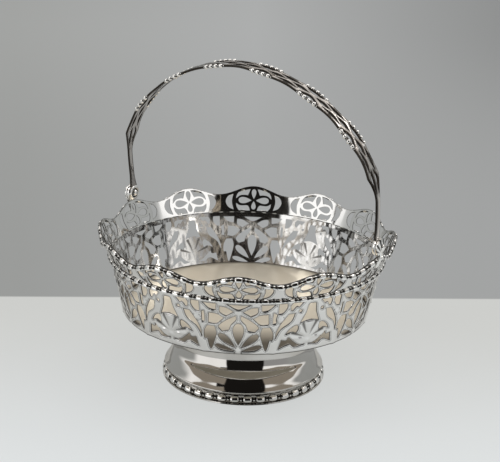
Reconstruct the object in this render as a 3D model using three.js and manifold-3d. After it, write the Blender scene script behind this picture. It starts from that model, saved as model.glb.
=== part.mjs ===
// A silver bonbon basket with a swing handle.
// A pierced wall of twelve bays stands on a spun foot, a flared border with twelve lobes
// sits on the wall, beaded wires cover the joins, and a pierced arch swings on two rivets.
// Millimetres, +Z up. The origin is the middle of the foot's bottom face.
// The handle turns about the X axis.

import * as THREE from 'three';
import { mergeVertices } from 'three/addons/utils/BufferGeometryUtils.js';
import Module from 'manifold-3d';

const wasm = await Module();
wasm.setup();

// Driving dimensions
const bayCount = 12; // bays of the wall, and lobes of the border
const sheet = 0.8; // thickness of the pierced sheet
const seam = 0.3; // width of a soldered join
const roundSides = 48; // facets once round the basket

const footRadius = 39.4; // outside of the base ring
const baseRingHeight = 0.9;
const baseRingWidth = 4.6;
const footWireThick = 3.2; // ornamental wire round the foot
const footHeight = 34.8; // table to the underside of the floor
const footWall = 0.8;
const domeRadius = 38.2; // foot at the lip, just above the wire
const domeShoulderRadius = 35.0; // where the foot turns from a swell into a hollow
const domeShoulderHeight = 12.1;
const neckRadius = 30.4; // narrowest part of the foot
const neckHeight = 23.0;
const footTopRadius = 31.2; // where the foot meets the floor

const floorThick = 1.0;
const wallDrop = 0.5; // wall below the floor's underside
const wallFootRadius = 58.3; // middle of the sheet at the bottom of the wall
const wallTopRadius = 64.2; // middle of the sheet at the belt
const wallHeight = 27.1;

const borderHeight = 12.6; // belt to the tip of a lobe
const lobeRadius = 69.6; // middle of the sheet at the tip of a lobe
const lobeRise = 4.0; // tip of a lobe above the dip between two lobes
const beltWireThick = 1.7;
const rimWireThick = 1.7;

const hingeRise = 4.4; // rivets above the tip of a lobe
const eyeRadius = 3.75; // round ends of the handle, and of the lugs
const eyeThick = 2.0;
const lugThick = 1.8;
const lugTongueWidth = 3.0;
const lugTongueThick = 0.9;
const lugTongueLength = 5.5; // soldered to the border, measured down from the lobe's tip
const lugBallRadius = 0.85; // bead under the lug
const plateDome = 0.6; // rounding of the lug's and the eye's faces
const rivetRadius = 1.0;
const rivetHeadRadius = 1.7;
const rivetHeadThick = 0.6;
const rivetPlay = 0.25; // room round the rivet in the eye
const rivetFit = 0.1; // room round the rivet in the lug
const eyeGap = 0.3; // between the eye and the lug

const handleReach = 74.4; // rivets to the crown of the handle
const handleBelly = 68.5; // half the widest span of the handle
const handleBellyHeight = 20.4; // above the rivets
const handleExponent = 1.85; // 2 is an ellipse
const handleLean = 6.5; // degrees towards the front, as it stands in use
const handleThick = 1.2;
const handleSwell = 5.0; // half width where the edge is beaded
const handleWaist = 3.9; // half width between two beaded stretches
const handleStem = 1.5; // half width of the plain ends
const handleStemFlare = 2.4; // half width where a plain end meets its eye
const handleFlareLength = 6;
const handleTaperLength = 12; // from the last beaded stretch to the plain end
const handleRib = 0.9; // metal left at an edge, or beside a slit
const swellPitch = 25; // from one beaded stretch to the next
const swellPairs = 3; // beaded stretches on each side of the crown

// Values that follow from them
const degree = Math.PI / 180;
const bayAngle = 360 / bayCount;
const wallFoot = footHeight - wallDrop;
const beltHeight = wallFoot + wallHeight;
const lobeTop = beltHeight + borderHeight;
const hingeHeight = lobeTop + hingeRise;
const eyeOuter = lobeRadius - eyeGap - seam; // the eye swings just inside the lobe
const eyeInner = eyeOuter - eyeThick;
const lugInner = eyeOuter + eyeGap;
const lugOuter = lugInner + lugThick;

const silver = { color: 0xd8d6d2, metalness: 1, roughness: 0.18 };
const paleSilver = { color: 0xe0dedb, metalness: 1, roughness: 0.14 };
const wornSilver = { color: 0xc9c4bc, metalness: 1, roughness: 0.24 };

const basket = new THREE.Group();
const handle = new THREE.Group();
basket.add(handle);

function addPiece(group, name, geometry, finish) {
  const mesh = new THREE.Mesh(geometry, new THREE.MeshStandardMaterial(finish));
  mesh.name = name;
  group.add(mesh);
  return mesh;
}

// Shared vertices are merged, and the faces are turned outwards
function closed(geometry) {
  const plain = geometry.clone();
  plain.deleteAttribute('normal');
  plain.deleteAttribute('uv');
  const merged = mergeVertices(plain, 1e-4);
  const corner = merged.getAttribute('position');
  const index = merged.getIndex().array;
  const kept = [];
  let volume = 0;
  const a = new THREE.Vector3();
  const b = new THREE.Vector3();
  const c = new THREE.Vector3();
  for (let i = 0; i < index.length; i += 3) {
    const [p, q, r] = [index[i], index[i + 1], index[i + 2]];
    if (p === q || q === r || r === p) continue;
    kept.push(p, q, r);
    a.fromBufferAttribute(corner, p);
    b.fromBufferAttribute(corner, q);
    c.fromBufferAttribute(corner, r);
    volume += a.dot(b.cross(c));
  }
  if (volume < 0) kept.reverse();
  merged.setIndex(kept);
  return merged;
}

function toSolid(geometry) {
  const whole = closed(geometry);
  return new wasm.Manifold(new wasm.Mesh({
    numProp: 3,
    vertProperties: new Float32Array(whole.getAttribute('position').array),
    triVerts: new Uint32Array(whole.getIndex().array),
  }));
}

function fromSolid(solid) {
  const mesh = solid.getMesh();
  const geometry = new THREE.BufferGeometry();
  geometry.setAttribute('position', new THREE.BufferAttribute(mesh.vertProperties, 3));
  geometry.setIndex(Array.from(mesh.triVerts));
  return geometry;
}

// Drawn in slightly at the middle, a sheet's long edges hollow a little, so that every
// point along a straight edge keeps its own triangles when the sheet is bent
function waisted(outline) {
  const box = new THREE.Box2().setFromPoints(outline);
  const middle = box.getCenter(new THREE.Vector2());
  const half = (box.max.x - box.min.x) / 2;
  const drawIn = 0.02;
  return ({ x, y }) => {
    const share = 1 - drawIn * (1 - ((x - middle.x) / half) ** 2);
    return new THREE.Vector2(x, middle.y + (y - middle.y) * share);
  };
}

// Positive where d lies inside the circle through the counter-clockwise corners a, b and c
function insideCircle(a, b, c, d) {
  const rows = [a, b, c].map((p) => [p.x - d.x, p.y - d.y, (p.x - d.x) ** 2 + (p.y - d.y) ** 2]);
  const [[ax, ay, az], [bx, by, bz], [cx, cy, cz]] = rows;
  return ax * (by * cz - bz * cy) - ay * (bx * cz - bz * cx) + az * (bx * cy - by * cx);
}

// Long thin triangles would cut across the bend, so a diagonal is turned wherever the other
// one of its four-cornered pair is the shorter way across
function evened(faces, points) {
  const turned = faces.map((face) => [...face]);
  let changed = true;
  for (let pass = 0; changed && pass < 60; pass++) {
    changed = false;
    const owner = new Map();
    turned.forEach((face, i) => {
      for (let k = 0; k < 3; k++) owner.set(`${face[k]}_${face[(k + 1) % 3]}`, [i, face[(k + 2) % 3]]);
    });
    const used = new Set();
    for (const [key, [i, c]] of owner) {
      const [a, b] = key.split('_').map(Number);
      const across = owner.get(`${b}_${a}`);
      if (!across || used.has(i) || used.has(across[0])) continue;
      const [j, d] = across;
      if (insideCircle(points[a], points[b], points[c], points[d]) < 1e-6) continue;
      turned[i] = [c, a, d];
      turned[j] = [d, b, c];
      used.add(i).add(j);
      changed = true;
    }
  }
  return turned;
}

// A flat outline with openings becomes a sheet: place(u, v, side) bends it into shape,
// where side is +1 on the outer face and -1 on the inner face
function bentSheet(outline, openings, place) {
  const edge = THREE.ShapeUtils.isClockWise(outline) ? [...outline].reverse() : outline;
  const holes = openings.map((hole) => (THREE.ShapeUtils.isClockWise(hole) ? hole : [...hole].reverse()));
  const points = [edge, ...holes].flat();
  const count = points.length;
  const position = [];
  for (const side of [1, -1]) {
    for (const point of points) position.push(...place(point.x, point.y, side).toArray());
  }
  const index = [];
  const narrow = waisted(edge);
  const flatHoles = holes.map((hole) => hole.map(narrow));
  const faces = THREE.ShapeUtils.triangulateShape(edge.map(narrow), flatHoles);
  for (const [a, b, c] of evened(faces, points.map(narrow))) {
    index.push(a, b, c, count + a, count + c, count + b);
  }
  let start = 0;
  for (const ring of [edge, ...holes]) {
    for (let i = 0; i < ring.length; i++) {
      const here = start + i;
      const next = start + ((i + 1) % ring.length);
      index.push(here, count + here, count + next, here, count + next, next);
    }
    start += ring.length;
  }
  const geometry = new THREE.BufferGeometry();
  geometry.setAttribute('position', new THREE.Float32BufferAttribute(position, 3));
  geometry.setIndex(index);
  return closed(geometry);
}

// A closed profile of [radius, height] pairs is spun about the Z axis
function spun(profile, sides = roundSides) {
  const points = profile.map(([radius, height]) => new THREE.Vector2(radius, height));
  if (profile[0][0] !== 0) points.push(points[0].clone());
  return closed(new THREE.LatheGeometry(points, sides).rotateX(Math.PI / 2));
}

function circleProfile(radius, height, thick, sides) {
  return Array.from({ length: sides }, (unused, i) => {
    const turn = (i / sides) * 2 * Math.PI;
    return [radius + (thick / 2) * Math.cos(turn), height + (thick / 2) * Math.sin(turn)];
  });
}

// Openings of the pierced work, each a ring of points in the flat
const ring = (...pairs) => pairs.map(([x, y]) => new THREE.Vector2(x, y));
const mirrored = (points) => points.map((point) => new THREE.Vector2(-point.x, point.y));
const both = (points) => [points, mirrored(points)];
const pair = (...points) => both(ring(...points));

// A petal with its point at `root` and its round end at root + reach, leaning from upright
function petal(root, lean, reach, width, sides = 6) {
  const axis = new THREE.Vector2(Math.sin(lean * degree), Math.cos(lean * degree));
  const across = new THREE.Vector2(axis.y, -axis.x);
  return Array.from({ length: sides }, (unused, i) => {
    const turn = (i / sides) * 2 * Math.PI;
    const along = (reach * (1 - Math.cos(turn))) / 2;
    const aside = ((width / 2) * Math.sin(turn) * Math.sin(turn / 2)) / 0.77;
    return root.clone().addScaledVector(axis, along).addScaledVector(across, aside);
  });
}

// A bow: a straight chord with an arc on its right-hand side
function bow(from, to, depth, steps = 4) {
  const chord = to.clone().sub(from);
  const across = new THREE.Vector2(chord.y, -chord.x).normalize();
  return Array.from({ length: steps + 1 }, (unused, i) => {
    const t = i / steps;
    return from.clone().addScaledVector(chord, t).addScaledVector(across, 4 * depth * t * (1 - t));
  });
}

const at = (x, y) => new THREE.Vector2(x, y);

// The wall's patterns are drawn on a field of this size and stretched to the bay
const fieldWidth = 31.4;
const fieldHeight = 27.8;

// Palmette: five petals fan out of one root under two pairs of leaves
function palmetteOpenings() {
  const openings = [petal(at(0, 4.4), 0, 11.6, 4.8)];
  openings.push(...both(petal(at(1.2, 3.2), 47, 10.0, 3.5)));
  openings.push(...both(petal(at(1.4, 1.2), 74, 9.4, 2.5)));
  openings.push(bow(at(5.0, 25.5), at(-5.0, 25.5), -2.6).reverse());
  openings.push(...pair([1.2, 19.9], [1.1, 17.2], [3.2, 14.6], [4.0, 12.2], [7.2, 11.3], [8.5, 14.2],
    [5.2, 17.5]));
  openings.push(...pair([1.9, 21.8], [5.1, 19.6], [7.8, 21.5], [7.9, 24.2], [5.0, 23.8]));
  openings.push(...pair([9.2, 25.5], [15.0, 25.5], [12.6, 22.9], [9.4, 22.1]));
  openings.push(...pair([6.2, 18.3], [9.4, 15.2], [12.9, 15.3], [12.5, 20.6], [8.9, 20.3]));
  openings.push(...pair([10.2, 13.8], [13.5, 13.8], [15.0, 10.8], [15.0, 7.2], [13.7, 6.9],
    [12.8, 2.4], [11.6, 2.2], [9.6, 9.8]));
  return openings;
}

// Arch: a bell-shaped light under a pointed arch, over a solid shell and two waves
function archOpenings() {
  const bell = [[-1.7, 24.4], [-2.5, 20.2], [-4.4, 15.2], [0, 16.0], [4.4, 15.2], [2.5, 20.2], [1.7, 24.4]];
  const openings = [ring(...bell)];
  openings.push(...pair([4.2, 25.8], [8.7, 26.0], [9.8, 24.4], [9.5, 22.2], [8.6, 22.1], [7.2, 23.9],
    [6.2, 23.3]));
  openings.push(...pair([11.2, 25.8], [14.9, 25.8], [14.9, 20.6], [12.8, 21.0], [11.2, 23.4]));
  openings.push(...both(petal(at(5.1, 20.6), 10, 1.7, 1.5, 5)));
  openings.push(...pair([7.5, 20.4], [10.2, 20.2], [13.6, 15.0], [15.1, 11.0], [15.1, 8.0], [12.9, 12.6],
    [8.7, 16.2]));
  openings.push(...pair([5.4, 13.5], [6.6, 13.9], [9.2, 12.2], [10.8, 9.6], [8.0, 10.6], [6.0, 9.8],
    [5.2, 11.4]));
  openings.push(...pair([1.2, 3.3], [4.6, 4.0], [9.4, 8.1], [10.2, 6.5], [12.4, 6.7], [13.5, 2.1],
    [8.7, 4.2], [6.0, 2.4]));
  return openings;
}

function wallPlace(centre, u, v, side) {
  const share = v / fieldHeight;
  const angle = (centre + (u / fieldWidth) * bayAngle) * degree;
  const slope = Math.atan2(wallTopRadius - wallFootRadius, wallHeight);
  const radius = wallFootRadius + (wallTopRadius - wallFootRadius) * share;
  const outward = side * (sheet / 2);
  const out = radius + outward * Math.cos(slope);
  const height = wallFoot + wallHeight * share - outward * Math.sin(slope);
  return new THREE.Vector3(out * Math.cos(angle), out * Math.sin(angle), height);
}

// Four straight facets to a bay, and half a seam left free on each side and at the belt
function wallPanel(centre, openings) {
  const half = fieldWidth / 2 - seam / 2;
  const top = fieldHeight - seam / 2;
  const steps = roundSides / bayCount;
  const outline = [];
  for (let i = 0; i <= steps; i++) outline.push(at(-half + (2 * half * i) / steps, 0));
  for (let i = steps; i >= 0; i--) outline.push(at(-half + (2 * half * i) / steps, top));
  return bentSheet(outline, openings, (u, v, side) => wallPlace(centre, u, v, side));
}

// Height of the lobed edge above the belt, at an angle from the middle of a lobe
const edgeRise = (angle) => borderHeight - (lobeRise / 2) * (1 - Math.cos(angle * bayCount * degree));

function borderPlace(angle, rise, outward) {
  const slope = Math.atan2(lobeRadius - wallTopRadius, borderHeight);
  const radius = wallTopRadius + (lobeRadius - wallTopRadius) * (rise / borderHeight);
  const out = radius + outward * Math.cos(slope);
  const height = beltHeight + rise - outward * Math.sin(slope);
  return new THREE.Vector3(out * Math.cos(angle * degree), out * Math.sin(angle * degree), height);
}

// Each lobe is pierced with an oval of four petals between two crescents, drawn on this field
const borderFieldWidth = 33.6;
const borderFieldHeight = 12.6;
function medallionOpenings() {
  const openings = [petal(at(0, 6.5), 0, 4.5, 2.2, 5), petal(at(0, 5.2), 180, 3.8, 2.2, 5)];
  openings.push(...both(petal(at(1.3, 5.7), 90, 6.3, 2.9, 5)));
  openings.push(...pair([1.7, 11.3], [5.0, 10.9], [7.4, 9.6], [8.8, 6.8], [6.8, 8.1], [3.2, 8.2]));
  openings.push(...pair([2.0, 0.9], [3.0, 3.2], [6.8, 3.2], [8.8, 4.0], [7.4, 0.9]));
  openings.push(...pair([10.5, 8.3], [11.1, 5.0], [10.4, 1.4], [13.0, 2.6], [14.1, 5.2], [12.8, 7.6]));
  return openings;
}

function borderPanel(centre) {
  const half = borderFieldWidth / 2 - seam / 2;
  const steps = roundSides / bayCount;
  const edgeSteps = 2 * steps;
  const toAngle = (u) => (u / borderFieldWidth) * bayAngle;
  const toRise = (v) => (v / borderFieldHeight) * borderHeight;
  const outline = [];
  for (let i = 0; i <= steps; i++) outline.push(at(-half + (2 * half * i) / steps, seam / 2));
  for (let i = edgeSteps; i >= 0; i--) {
    const u = -half + (2 * half * i) / edgeSteps;
    outline.push(at(u, (edgeRise(toAngle(u)) / borderHeight) * borderFieldHeight));
  }
  return bentSheet(outline, medallionOpenings(), (u, v, side) => (
    borderPlace(centre + toAngle(u), toRise(v), side * (sheet / 2))
  ));
}

// Foot: a base ring, a spun and hollow shell, and a wire round its edge
function makeFoot() {
  const ringInner = footRadius - baseRingWidth;
  addPiece(basket, 'foot_base_ring', spun([
    [ringInner, 0],
    [footRadius, 0],
    [footRadius, baseRingHeight],
    [ringInner, baseRingHeight],
  ]), silver);

  const wireHeight = baseRingHeight + seam + footWireThick / 2;
  const shellFoot = footRadius - footWireThick - 2 * seam;
  addPiece(basket, 'foot_wire', spun(
    circleProfile(footRadius - footWireThick / 2, wireHeight, footWireThick, 6),
  ), silver);

  const lipHeight = wireHeight + footWireThick / 2 + seam;
  const outline = new THREE.SplineCurve([
    at(domeRadius, lipHeight + 0.9),
    at((domeRadius + domeShoulderRadius) / 2 + 0.7, (lipHeight + domeShoulderHeight) / 2 + 1.0),
    at(domeShoulderRadius, domeShoulderHeight),
    at((domeShoulderRadius + neckRadius) / 2 - 0.8, (domeShoulderHeight + neckHeight) / 2 - 1.2),
    at(neckRadius, neckHeight),
    at(footTopRadius, footHeight - seam),
  ]).getPoints(7);
  const outer = [[shellFoot, baseRingHeight], [shellFoot, lipHeight], [domeRadius, lipHeight]];
  for (const point of outline) outer.push([point.x, point.y]);
  const inner = [];
  for (let i = outline.length - 1; i >= 0; i--) {
    const ahead = outline[Math.min(i + 1, outline.length - 1)];
    const behind = outline[Math.max(i - 1, 0)];
    const run = ahead.clone().sub(behind).normalize();
    const last = i === outline.length - 1;
    inner.push([outline[i].x - footWall * run.y, last ? footHeight - seam : outline[i].y + footWall * run.x]);
  }
  inner.push([shellFoot - footWall, baseRingHeight]);
  addPiece(basket, 'foot_shell', spun([...outer, ...inner]), paleSilver);
}

function makeFloor() {
  const slope = (wallTopRadius - wallFootRadius) / wallHeight;
  const facet = Math.cos((180 / roundSides) * degree);
  const clear = sheet / 2 + seam + (1 - facet) * wallFootRadius;
  const lower = wallFootRadius + slope * wallDrop - clear;
  addPiece(basket, 'bowl_floor', spun([
    [0, footHeight],
    [lower, footHeight],
    [lower, footHeight + floorThick],
    [0, footHeight + floorThick],
  ]), wornSilver);
}

function makeWall() {
  const patterns = [palmetteOpenings(), archOpenings()];
  for (let i = 0; i < bayCount; i++) {
    const name = String(i + 1).padStart(2, '0');
    addPiece(basket, `wall_panel_${name}`, wallPanel(i * bayAngle, patterns[i % 2]), silver);
    addPiece(basket, `border_panel_${name}`, borderPanel(i * bayAngle), paleSilver);
  }
}

// The rim wire follows the lobed edge on its outside, a half ring on each side of the lugs
class RimCurve extends THREE.Curve {
  constructor(start, end) {
    super();
    this.start = start;
    this.end = end;
  }

  getPoint(t, target = new THREE.Vector3()) {
    const angle = this.start + (this.end - this.start) * t;
    const offset = sheet / 2 + seam + rimWireThick / 2;
    return target.copy(borderPlace(angle, edgeRise(angle) - rimWireThick / 2, offset));
  }
}

function makeWires() {
  const beltRadius = wallTopRadius + sheet / 2 + seam + beltWireThick / 2;
  addPiece(basket, 'belt_wire', spun(circleProfile(beltRadius, beltHeight, beltWireThick, 6)), silver);

  const section = new THREE.Shape(circleProfile(0, 0, rimWireThick, 6).map(([x, y]) => at(x, y)));
  const freeAngle = Math.asin((lugTongueWidth / 2 + seam) / lobeRadius) / degree;
  for (const [side, start] of [['back', 0], ['front', 180]]) {
    const path = new RimCurve(start + freeAngle, start + 180 - freeAngle);
    const along = { steps: bayCount * 3, extrudePath: path, bevelEnabled: false };
    const wire = new THREE.ExtrudeGeometry(section, along);
    addPiece(basket, `rim_wire_${side}`, closed(wire), silver);
  }
}

// A round plate on the hinge axis, spun about X between two radii, with a domed outer face
function hingePlate(from, to, dome) {
  const rim = eyeRadius - dome;
  const profile = [[0, from], [eyeRadius, from], [eyeRadius, to - dome], [rim, to], [0, to]];
  const points = profile.map(([radius, height]) => at(radius, height));
  const plate = new THREE.LatheGeometry(points, 24);
  return plate.rotateZ(-Math.PI / 2).translate(0, 0, hingeHeight);
}

function axle(radius, from, to) {
  const rod = new THREE.CylinderGeometry(radius, radius, to - from, 16);
  return rod.rotateZ(-Math.PI / 2).translate((from + to) / 2, 0, hingeHeight);
}

const mirrorToLeft = (geometry) => geometry.clone().rotateZ(Math.PI);

// Lug: a round ear over the lobe's tip, on a tongue soldered to the outside of the border
function makeLugs() {
  const slope = Math.atan2(lobeRadius - wallTopRadius, borderHeight);
  const tongueTop = hingeHeight - eyeRadius / 2;
  const tongueFoot = lobeTop - lugTongueLength;
  const out = (height) => {
    const onBorder = lobeRadius - (lobeTop - Math.min(height, lobeTop)) * Math.tan(slope);
    return onBorder + (sheet / 2 + seam) / Math.cos(slope);
  };
  const front = Math.max(out(lobeTop), lugOuter - plateDome - lugTongueThick) + lugTongueThick;
  const side = new THREE.Shape([
    at(out(tongueFoot), tongueFoot),
    at(out(tongueFoot) + lugTongueThick, tongueFoot),
    at(front, lobeTop),
    at(front, tongueTop),
    at(lugInner + seam, tongueTop),
    at(lugInner + seam, lobeTop + seam),
    at(out(lobeTop), lobeTop),
  ]);
  const tongue = new THREE.ExtrudeGeometry(side, { depth: lugTongueWidth, bevelEnabled: false });
  tongue.translate(0, 0, -lugTongueWidth / 2).rotateX(Math.PI / 2);
  const beadHeight = lobeTop - lugBallRadius / 2;
  const bead = new THREE.SphereGeometry(lugBallRadius, 12, 8);
  bead.translate(out(beadHeight) + lugBallRadius / Math.cos(slope), 0, beadHeight);
  const ear = toSolid(hingePlate(lugInner, lugOuter, plateDome)).add(toSolid(tongue)).add(toSolid(bead));
  const bored = fromSolid(ear.subtract(toSolid(axle(rivetRadius + rivetFit, lugInner - 1, lugOuter + 1))));
  addPiece(basket, 'hinge_lug_right', bored, silver);
  addPiece(basket, 'hinge_lug_left', mirrorToLeft(bored), silver);
}

function makeRivets() {
  const inside = eyeInner - seam;
  const outside = lugOuter + seam;
  const shank = toSolid(axle(rivetRadius, inside - 0.1, outside + 0.1));
  const heads = [
    axle(rivetHeadRadius, inside - rivetHeadThick, inside),
    axle(rivetHeadRadius, outside, outside + rivetHeadThick),
  ];
  const rivet = fromSolid(heads.reduce((whole, head) => whole.add(toSolid(head)), shank));
  addPiece(basket, 'hinge_rivet_right', rivet, silver);
  addPiece(basket, 'hinge_rivet_left', mirrorToLeft(rivet), silver);
}

// The eye is the round end of the handle, bored for the rivet
function makeEyes() {
  const plate = hingePlate(-eyeOuter, -eyeInner, plateDome).rotateZ(Math.PI);
  const bore = toSolid(axle(rivetRadius + rivetPlay, eyeInner - 1, eyeOuter + 1));
  const eye = fromSolid(toSolid(plate).subtract(bore));
  addPiece(handle, 'handle_eye_right', leaned(eye), silver);
  addPiece(handle, 'handle_eye_left', leaned(mirrorToLeft(eye)), silver);
}

// The middle line of the handle, from the left eye over the crown to the right eye
class HandleCurve extends THREE.Curve {
  getPoint(t, target = new THREE.Vector3()) {
    const eyeMiddle = (eyeInner + eyeOuter) / 2;
    const start = eyeRadius + seam + handleThick / 2;
    const legShare = 0.12;
    const side = t < 0.5 ? -1 : 1;
    const climb = Math.min(t, 1 - t) / legShare;
    if (climb < 1) {
      const rise = start + (handleBellyHeight - start) * climb;
      const spread = handleBelly - (handleBelly - eyeMiddle) * (1 - climb) ** 2;
      return target.set(side * spread, 0, hingeHeight + rise);
    }
    const turn = (Math.PI * (t - legShare)) / (1 - 2 * legShare);
    const power = 2 / handleExponent;
    const across = Math.abs(Math.cos(turn)) ** power * handleBelly;
    const up = Math.sin(turn) ** power * (handleReach - handleBellyHeight);
    return target.set(side * across, 0, hingeHeight + handleBellyHeight + up);
  }
}

const leaned = (geometry) => geometry.clone()
  .translate(0, 0, -hingeHeight).rotateX(handleLean * degree).translate(0, 0, hingeHeight);

// Half the handle's width at a distance from the crown
function handleHalfWidth(distance, halfLength) {
  const waveEnd = swellPitch * (swellPairs + 0.4);
  const taperEnd = waveEnd + handleTaperLength;
  const middle = (handleSwell + handleWaist) / 2;
  const swing = (handleSwell - handleWaist) / 2;
  if (distance < waveEnd) return middle - swing * Math.cos((2 * Math.PI * distance) / swellPitch);
  const waveLast = middle - swing * Math.cos((2 * Math.PI * waveEnd) / swellPitch);
  if (distance < taperEnd) {
    const share = (distance - waveEnd) / (taperEnd - waveEnd);
    return waveLast + (handleStem - waveLast) * share;
  }
  const flare = Math.max(0, 1 - (halfLength - distance) / handleFlareLength);
  return handleStem + (handleStemFlare - handleStem) * flare;
}

// Two strands cross every half pitch: slits lie beside each crossing and a light between two
function handleOpenings() {
  const cell = swellPitch / 2;
  const openings = [];
  for (let i = -2 * swellPairs; i <= 2 * swellPairs; i++) {
    const along = i * cell;
    const outer = (i % 2 === 0 ? handleWaist : handleSwell) - handleRib;
    for (const side of [1, -1]) {
      openings.push(ring(
        [along - cell * 0.4, side * (outer - handleRib / 2)],
        [along, side * handleRib],
        [along + cell * 0.4, side * (outer - handleRib / 2)],
        [along, side * outer],
      ));
    }
    if (i === 2 * swellPairs) continue;
    const centre = along + cell / 2;
    const half = (handleWaist - handleRib) * 0.42;
    openings.push(ring([centre - cell * 0.36, 0], [centre - cell * 0.13, half], [centre + cell * 0.13, half],
      [centre + cell * 0.36, 0], [centre + cell * 0.13, -half], [centre - cell * 0.13, -half]));
  }
  return openings;
}

function makeHandle() {
  const curve = new HandleCurve();
  curve.arcLengthDivisions = 400;
  const halfLength = curve.getLength() / 2;
  const steps = 60;
  const along = (i) => -halfLength + (2 * halfLength * i) / steps;
  const halfWidth = (i) => handleHalfWidth(Math.abs(along(i)), halfLength);
  const outline = [];
  for (let i = 0; i <= steps; i++) outline.push(at(along(i), -halfWidth(i)));
  for (let i = steps; i >= 0; i--) outline.push(at(along(i), halfWidth(i)));
  const strip = bentSheet(outline, handleOpenings(), (u, v, side) => {
    const share = THREE.MathUtils.clamp((u + halfLength) / (2 * halfLength), 0, 1);
    const point = curve.getPointAt(share);
    const run = curve.getTangentAt(share);
    const outward = side * (handleThick / 2);
    return new THREE.Vector3(point.x - run.z * outward, v, point.z + run.x * outward);
  });
  addPiece(handle, 'handle_arch', leaned(strip), silver);
}

makeFoot();
makeFloor();
makeWall();
makeWires();
makeLugs();
makeRivets();
makeEyes();
makeHandle();

export default basket;
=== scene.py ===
# %% [markdown]
# # A silver bonbon basket
# This lesson dresses a finished model of a small pierced silver basket: a spun foot, a wall of
# twelve pierced bays, a flared border with twelve lobes, beaded wires over the joins, and a
# pierced handle that swings on two rivets. The model's plain solids come first. They fix every
# place and size, so each dressed piece is drawn straight into its place.

# %% Load the frame
import math

import bmesh
import bpy
from mathutils import Matrix, Vector, kdtree
from mathutils.geometry import delaunay_2d_cdt


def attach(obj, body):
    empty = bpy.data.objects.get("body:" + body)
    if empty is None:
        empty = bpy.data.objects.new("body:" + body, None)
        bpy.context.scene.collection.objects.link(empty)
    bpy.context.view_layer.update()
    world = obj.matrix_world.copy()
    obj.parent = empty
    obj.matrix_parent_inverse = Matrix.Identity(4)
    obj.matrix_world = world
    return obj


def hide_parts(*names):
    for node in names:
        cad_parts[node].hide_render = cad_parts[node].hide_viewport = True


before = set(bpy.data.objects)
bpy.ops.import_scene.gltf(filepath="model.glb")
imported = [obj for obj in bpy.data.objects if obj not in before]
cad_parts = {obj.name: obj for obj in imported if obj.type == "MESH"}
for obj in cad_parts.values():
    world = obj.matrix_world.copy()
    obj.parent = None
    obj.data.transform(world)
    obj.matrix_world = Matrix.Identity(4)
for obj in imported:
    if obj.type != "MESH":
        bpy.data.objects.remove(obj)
bpy.context.scene.view_settings.view_transform = "Standard"
MM = 0.001
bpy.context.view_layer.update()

# %% [markdown]
# ## The camera
# The picture was taken from a little above the rim, to the right of the handle's middle, with
# a lens long enough to keep the circles from looking stretched. A camera can be turned with
# three angles, but a matrix of its right, up and backward directions is easier to reason about,
# because the slight tilt of the picture is then one more rotation of the first two.

# %% Place the camera
VIEW_AZIMUTH = math.radians(32.35)
VIEW_ELEVATION = math.radians(18.05)
VIEW_ROLL = math.radians(1.73)
VIEW_DISTANCE = 569.97 * MM
VIEW_TARGET = Vector((0, 0, 71.84 * MM))
VIEW_SIDESTEP = 1.25 * MM
LENS, SENSOR = 86.81, 36


def aim_camera():
    level = Vector((math.cos(VIEW_AZIMUTH), math.sin(VIEW_AZIMUTH), 0))
    back = Vector((
        math.sin(VIEW_AZIMUTH) * math.cos(VIEW_ELEVATION),
        -math.cos(VIEW_AZIMUTH) * math.cos(VIEW_ELEVATION),
        math.sin(VIEW_ELEVATION),
    ))
    upright = back.cross(level)
    right = level * math.cos(VIEW_ROLL) + upright * math.sin(VIEW_ROLL)
    up = upright * math.cos(VIEW_ROLL) - level * math.sin(VIEW_ROLL)
    place = VIEW_TARGET + back * VIEW_DISTANCE + level * VIEW_SIDESTEP
    camera = bpy.data.objects.new("camera", bpy.data.cameras.new("camera"))
    camera.matrix_world = Matrix.Translation(place) @ Matrix((right, up, back)).transposed().to_4x4()
    camera.data.lens = LENS
    camera.data.sensor_width = SENSOR
    camera.data.clip_start = 10 * MM
    bpy.context.scene.collection.objects.link(camera)
    bpy.context.scene.camera = camera
    return back


toward_camera = aim_camera()
near_side = toward_camera.xy.normalized()
print("the camera looks from", [round(c, 3) for c in toward_camera])

# %% [markdown]
# ## Shader maths as plain expressions
# A material is a net of nodes. Wiring each Math node by hand hides the idea, so one small class
# wraps a socket and lets `1 - mask * 0.5` add the nodes itself. Anything that isn't arithmetic
# comes from a single method that takes the node's kind, its settings and its inputs.

# %% Socket wrapper


def arithmetic(operation, swapped=False):
    """A method that joins a value with another value or a number, by one Math node."""
    def method(self, other):
        return self.maths(operation, other, self) if swapped else self.maths(operation, self, other)
    return method


class Value:
    """A number that flows out of a socket; arithmetic on it adds Math nodes."""

    def __init__(self, net, socket):
        self.net = net
        self.socket = socket

    def maths(self, operation, *values):
        return self.net.add("ShaderNodeMath", {"operation": operation}, values)[0]

    __add__ = __radd__ = arithmetic("ADD")
    __sub__ = arithmetic("SUBTRACT")
    __rsub__ = arithmetic("SUBTRACT", swapped=True)
    __mul__ = __rmul__ = arithmetic("MULTIPLY")
    __truediv__ = arithmetic("DIVIDE")
    __pow__ = arithmetic("POWER")

    def clamped(self):
        return self.maths("MAXIMUM", self.maths("MINIMUM", self, 1.0), 0.0)

    def rising(self, low, high):
        """0 below the low limit, 1 above the high limit, and smooth between them."""
        settings = {"interpolation_type": "SMOOTHSTEP"}
        return self.net.add("ShaderNodeMapRange", settings, [self, low, high, 0.0, 1.0])[0]

    def falling(self, low, high):
        return 1 - self.rising(low, high)


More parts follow.
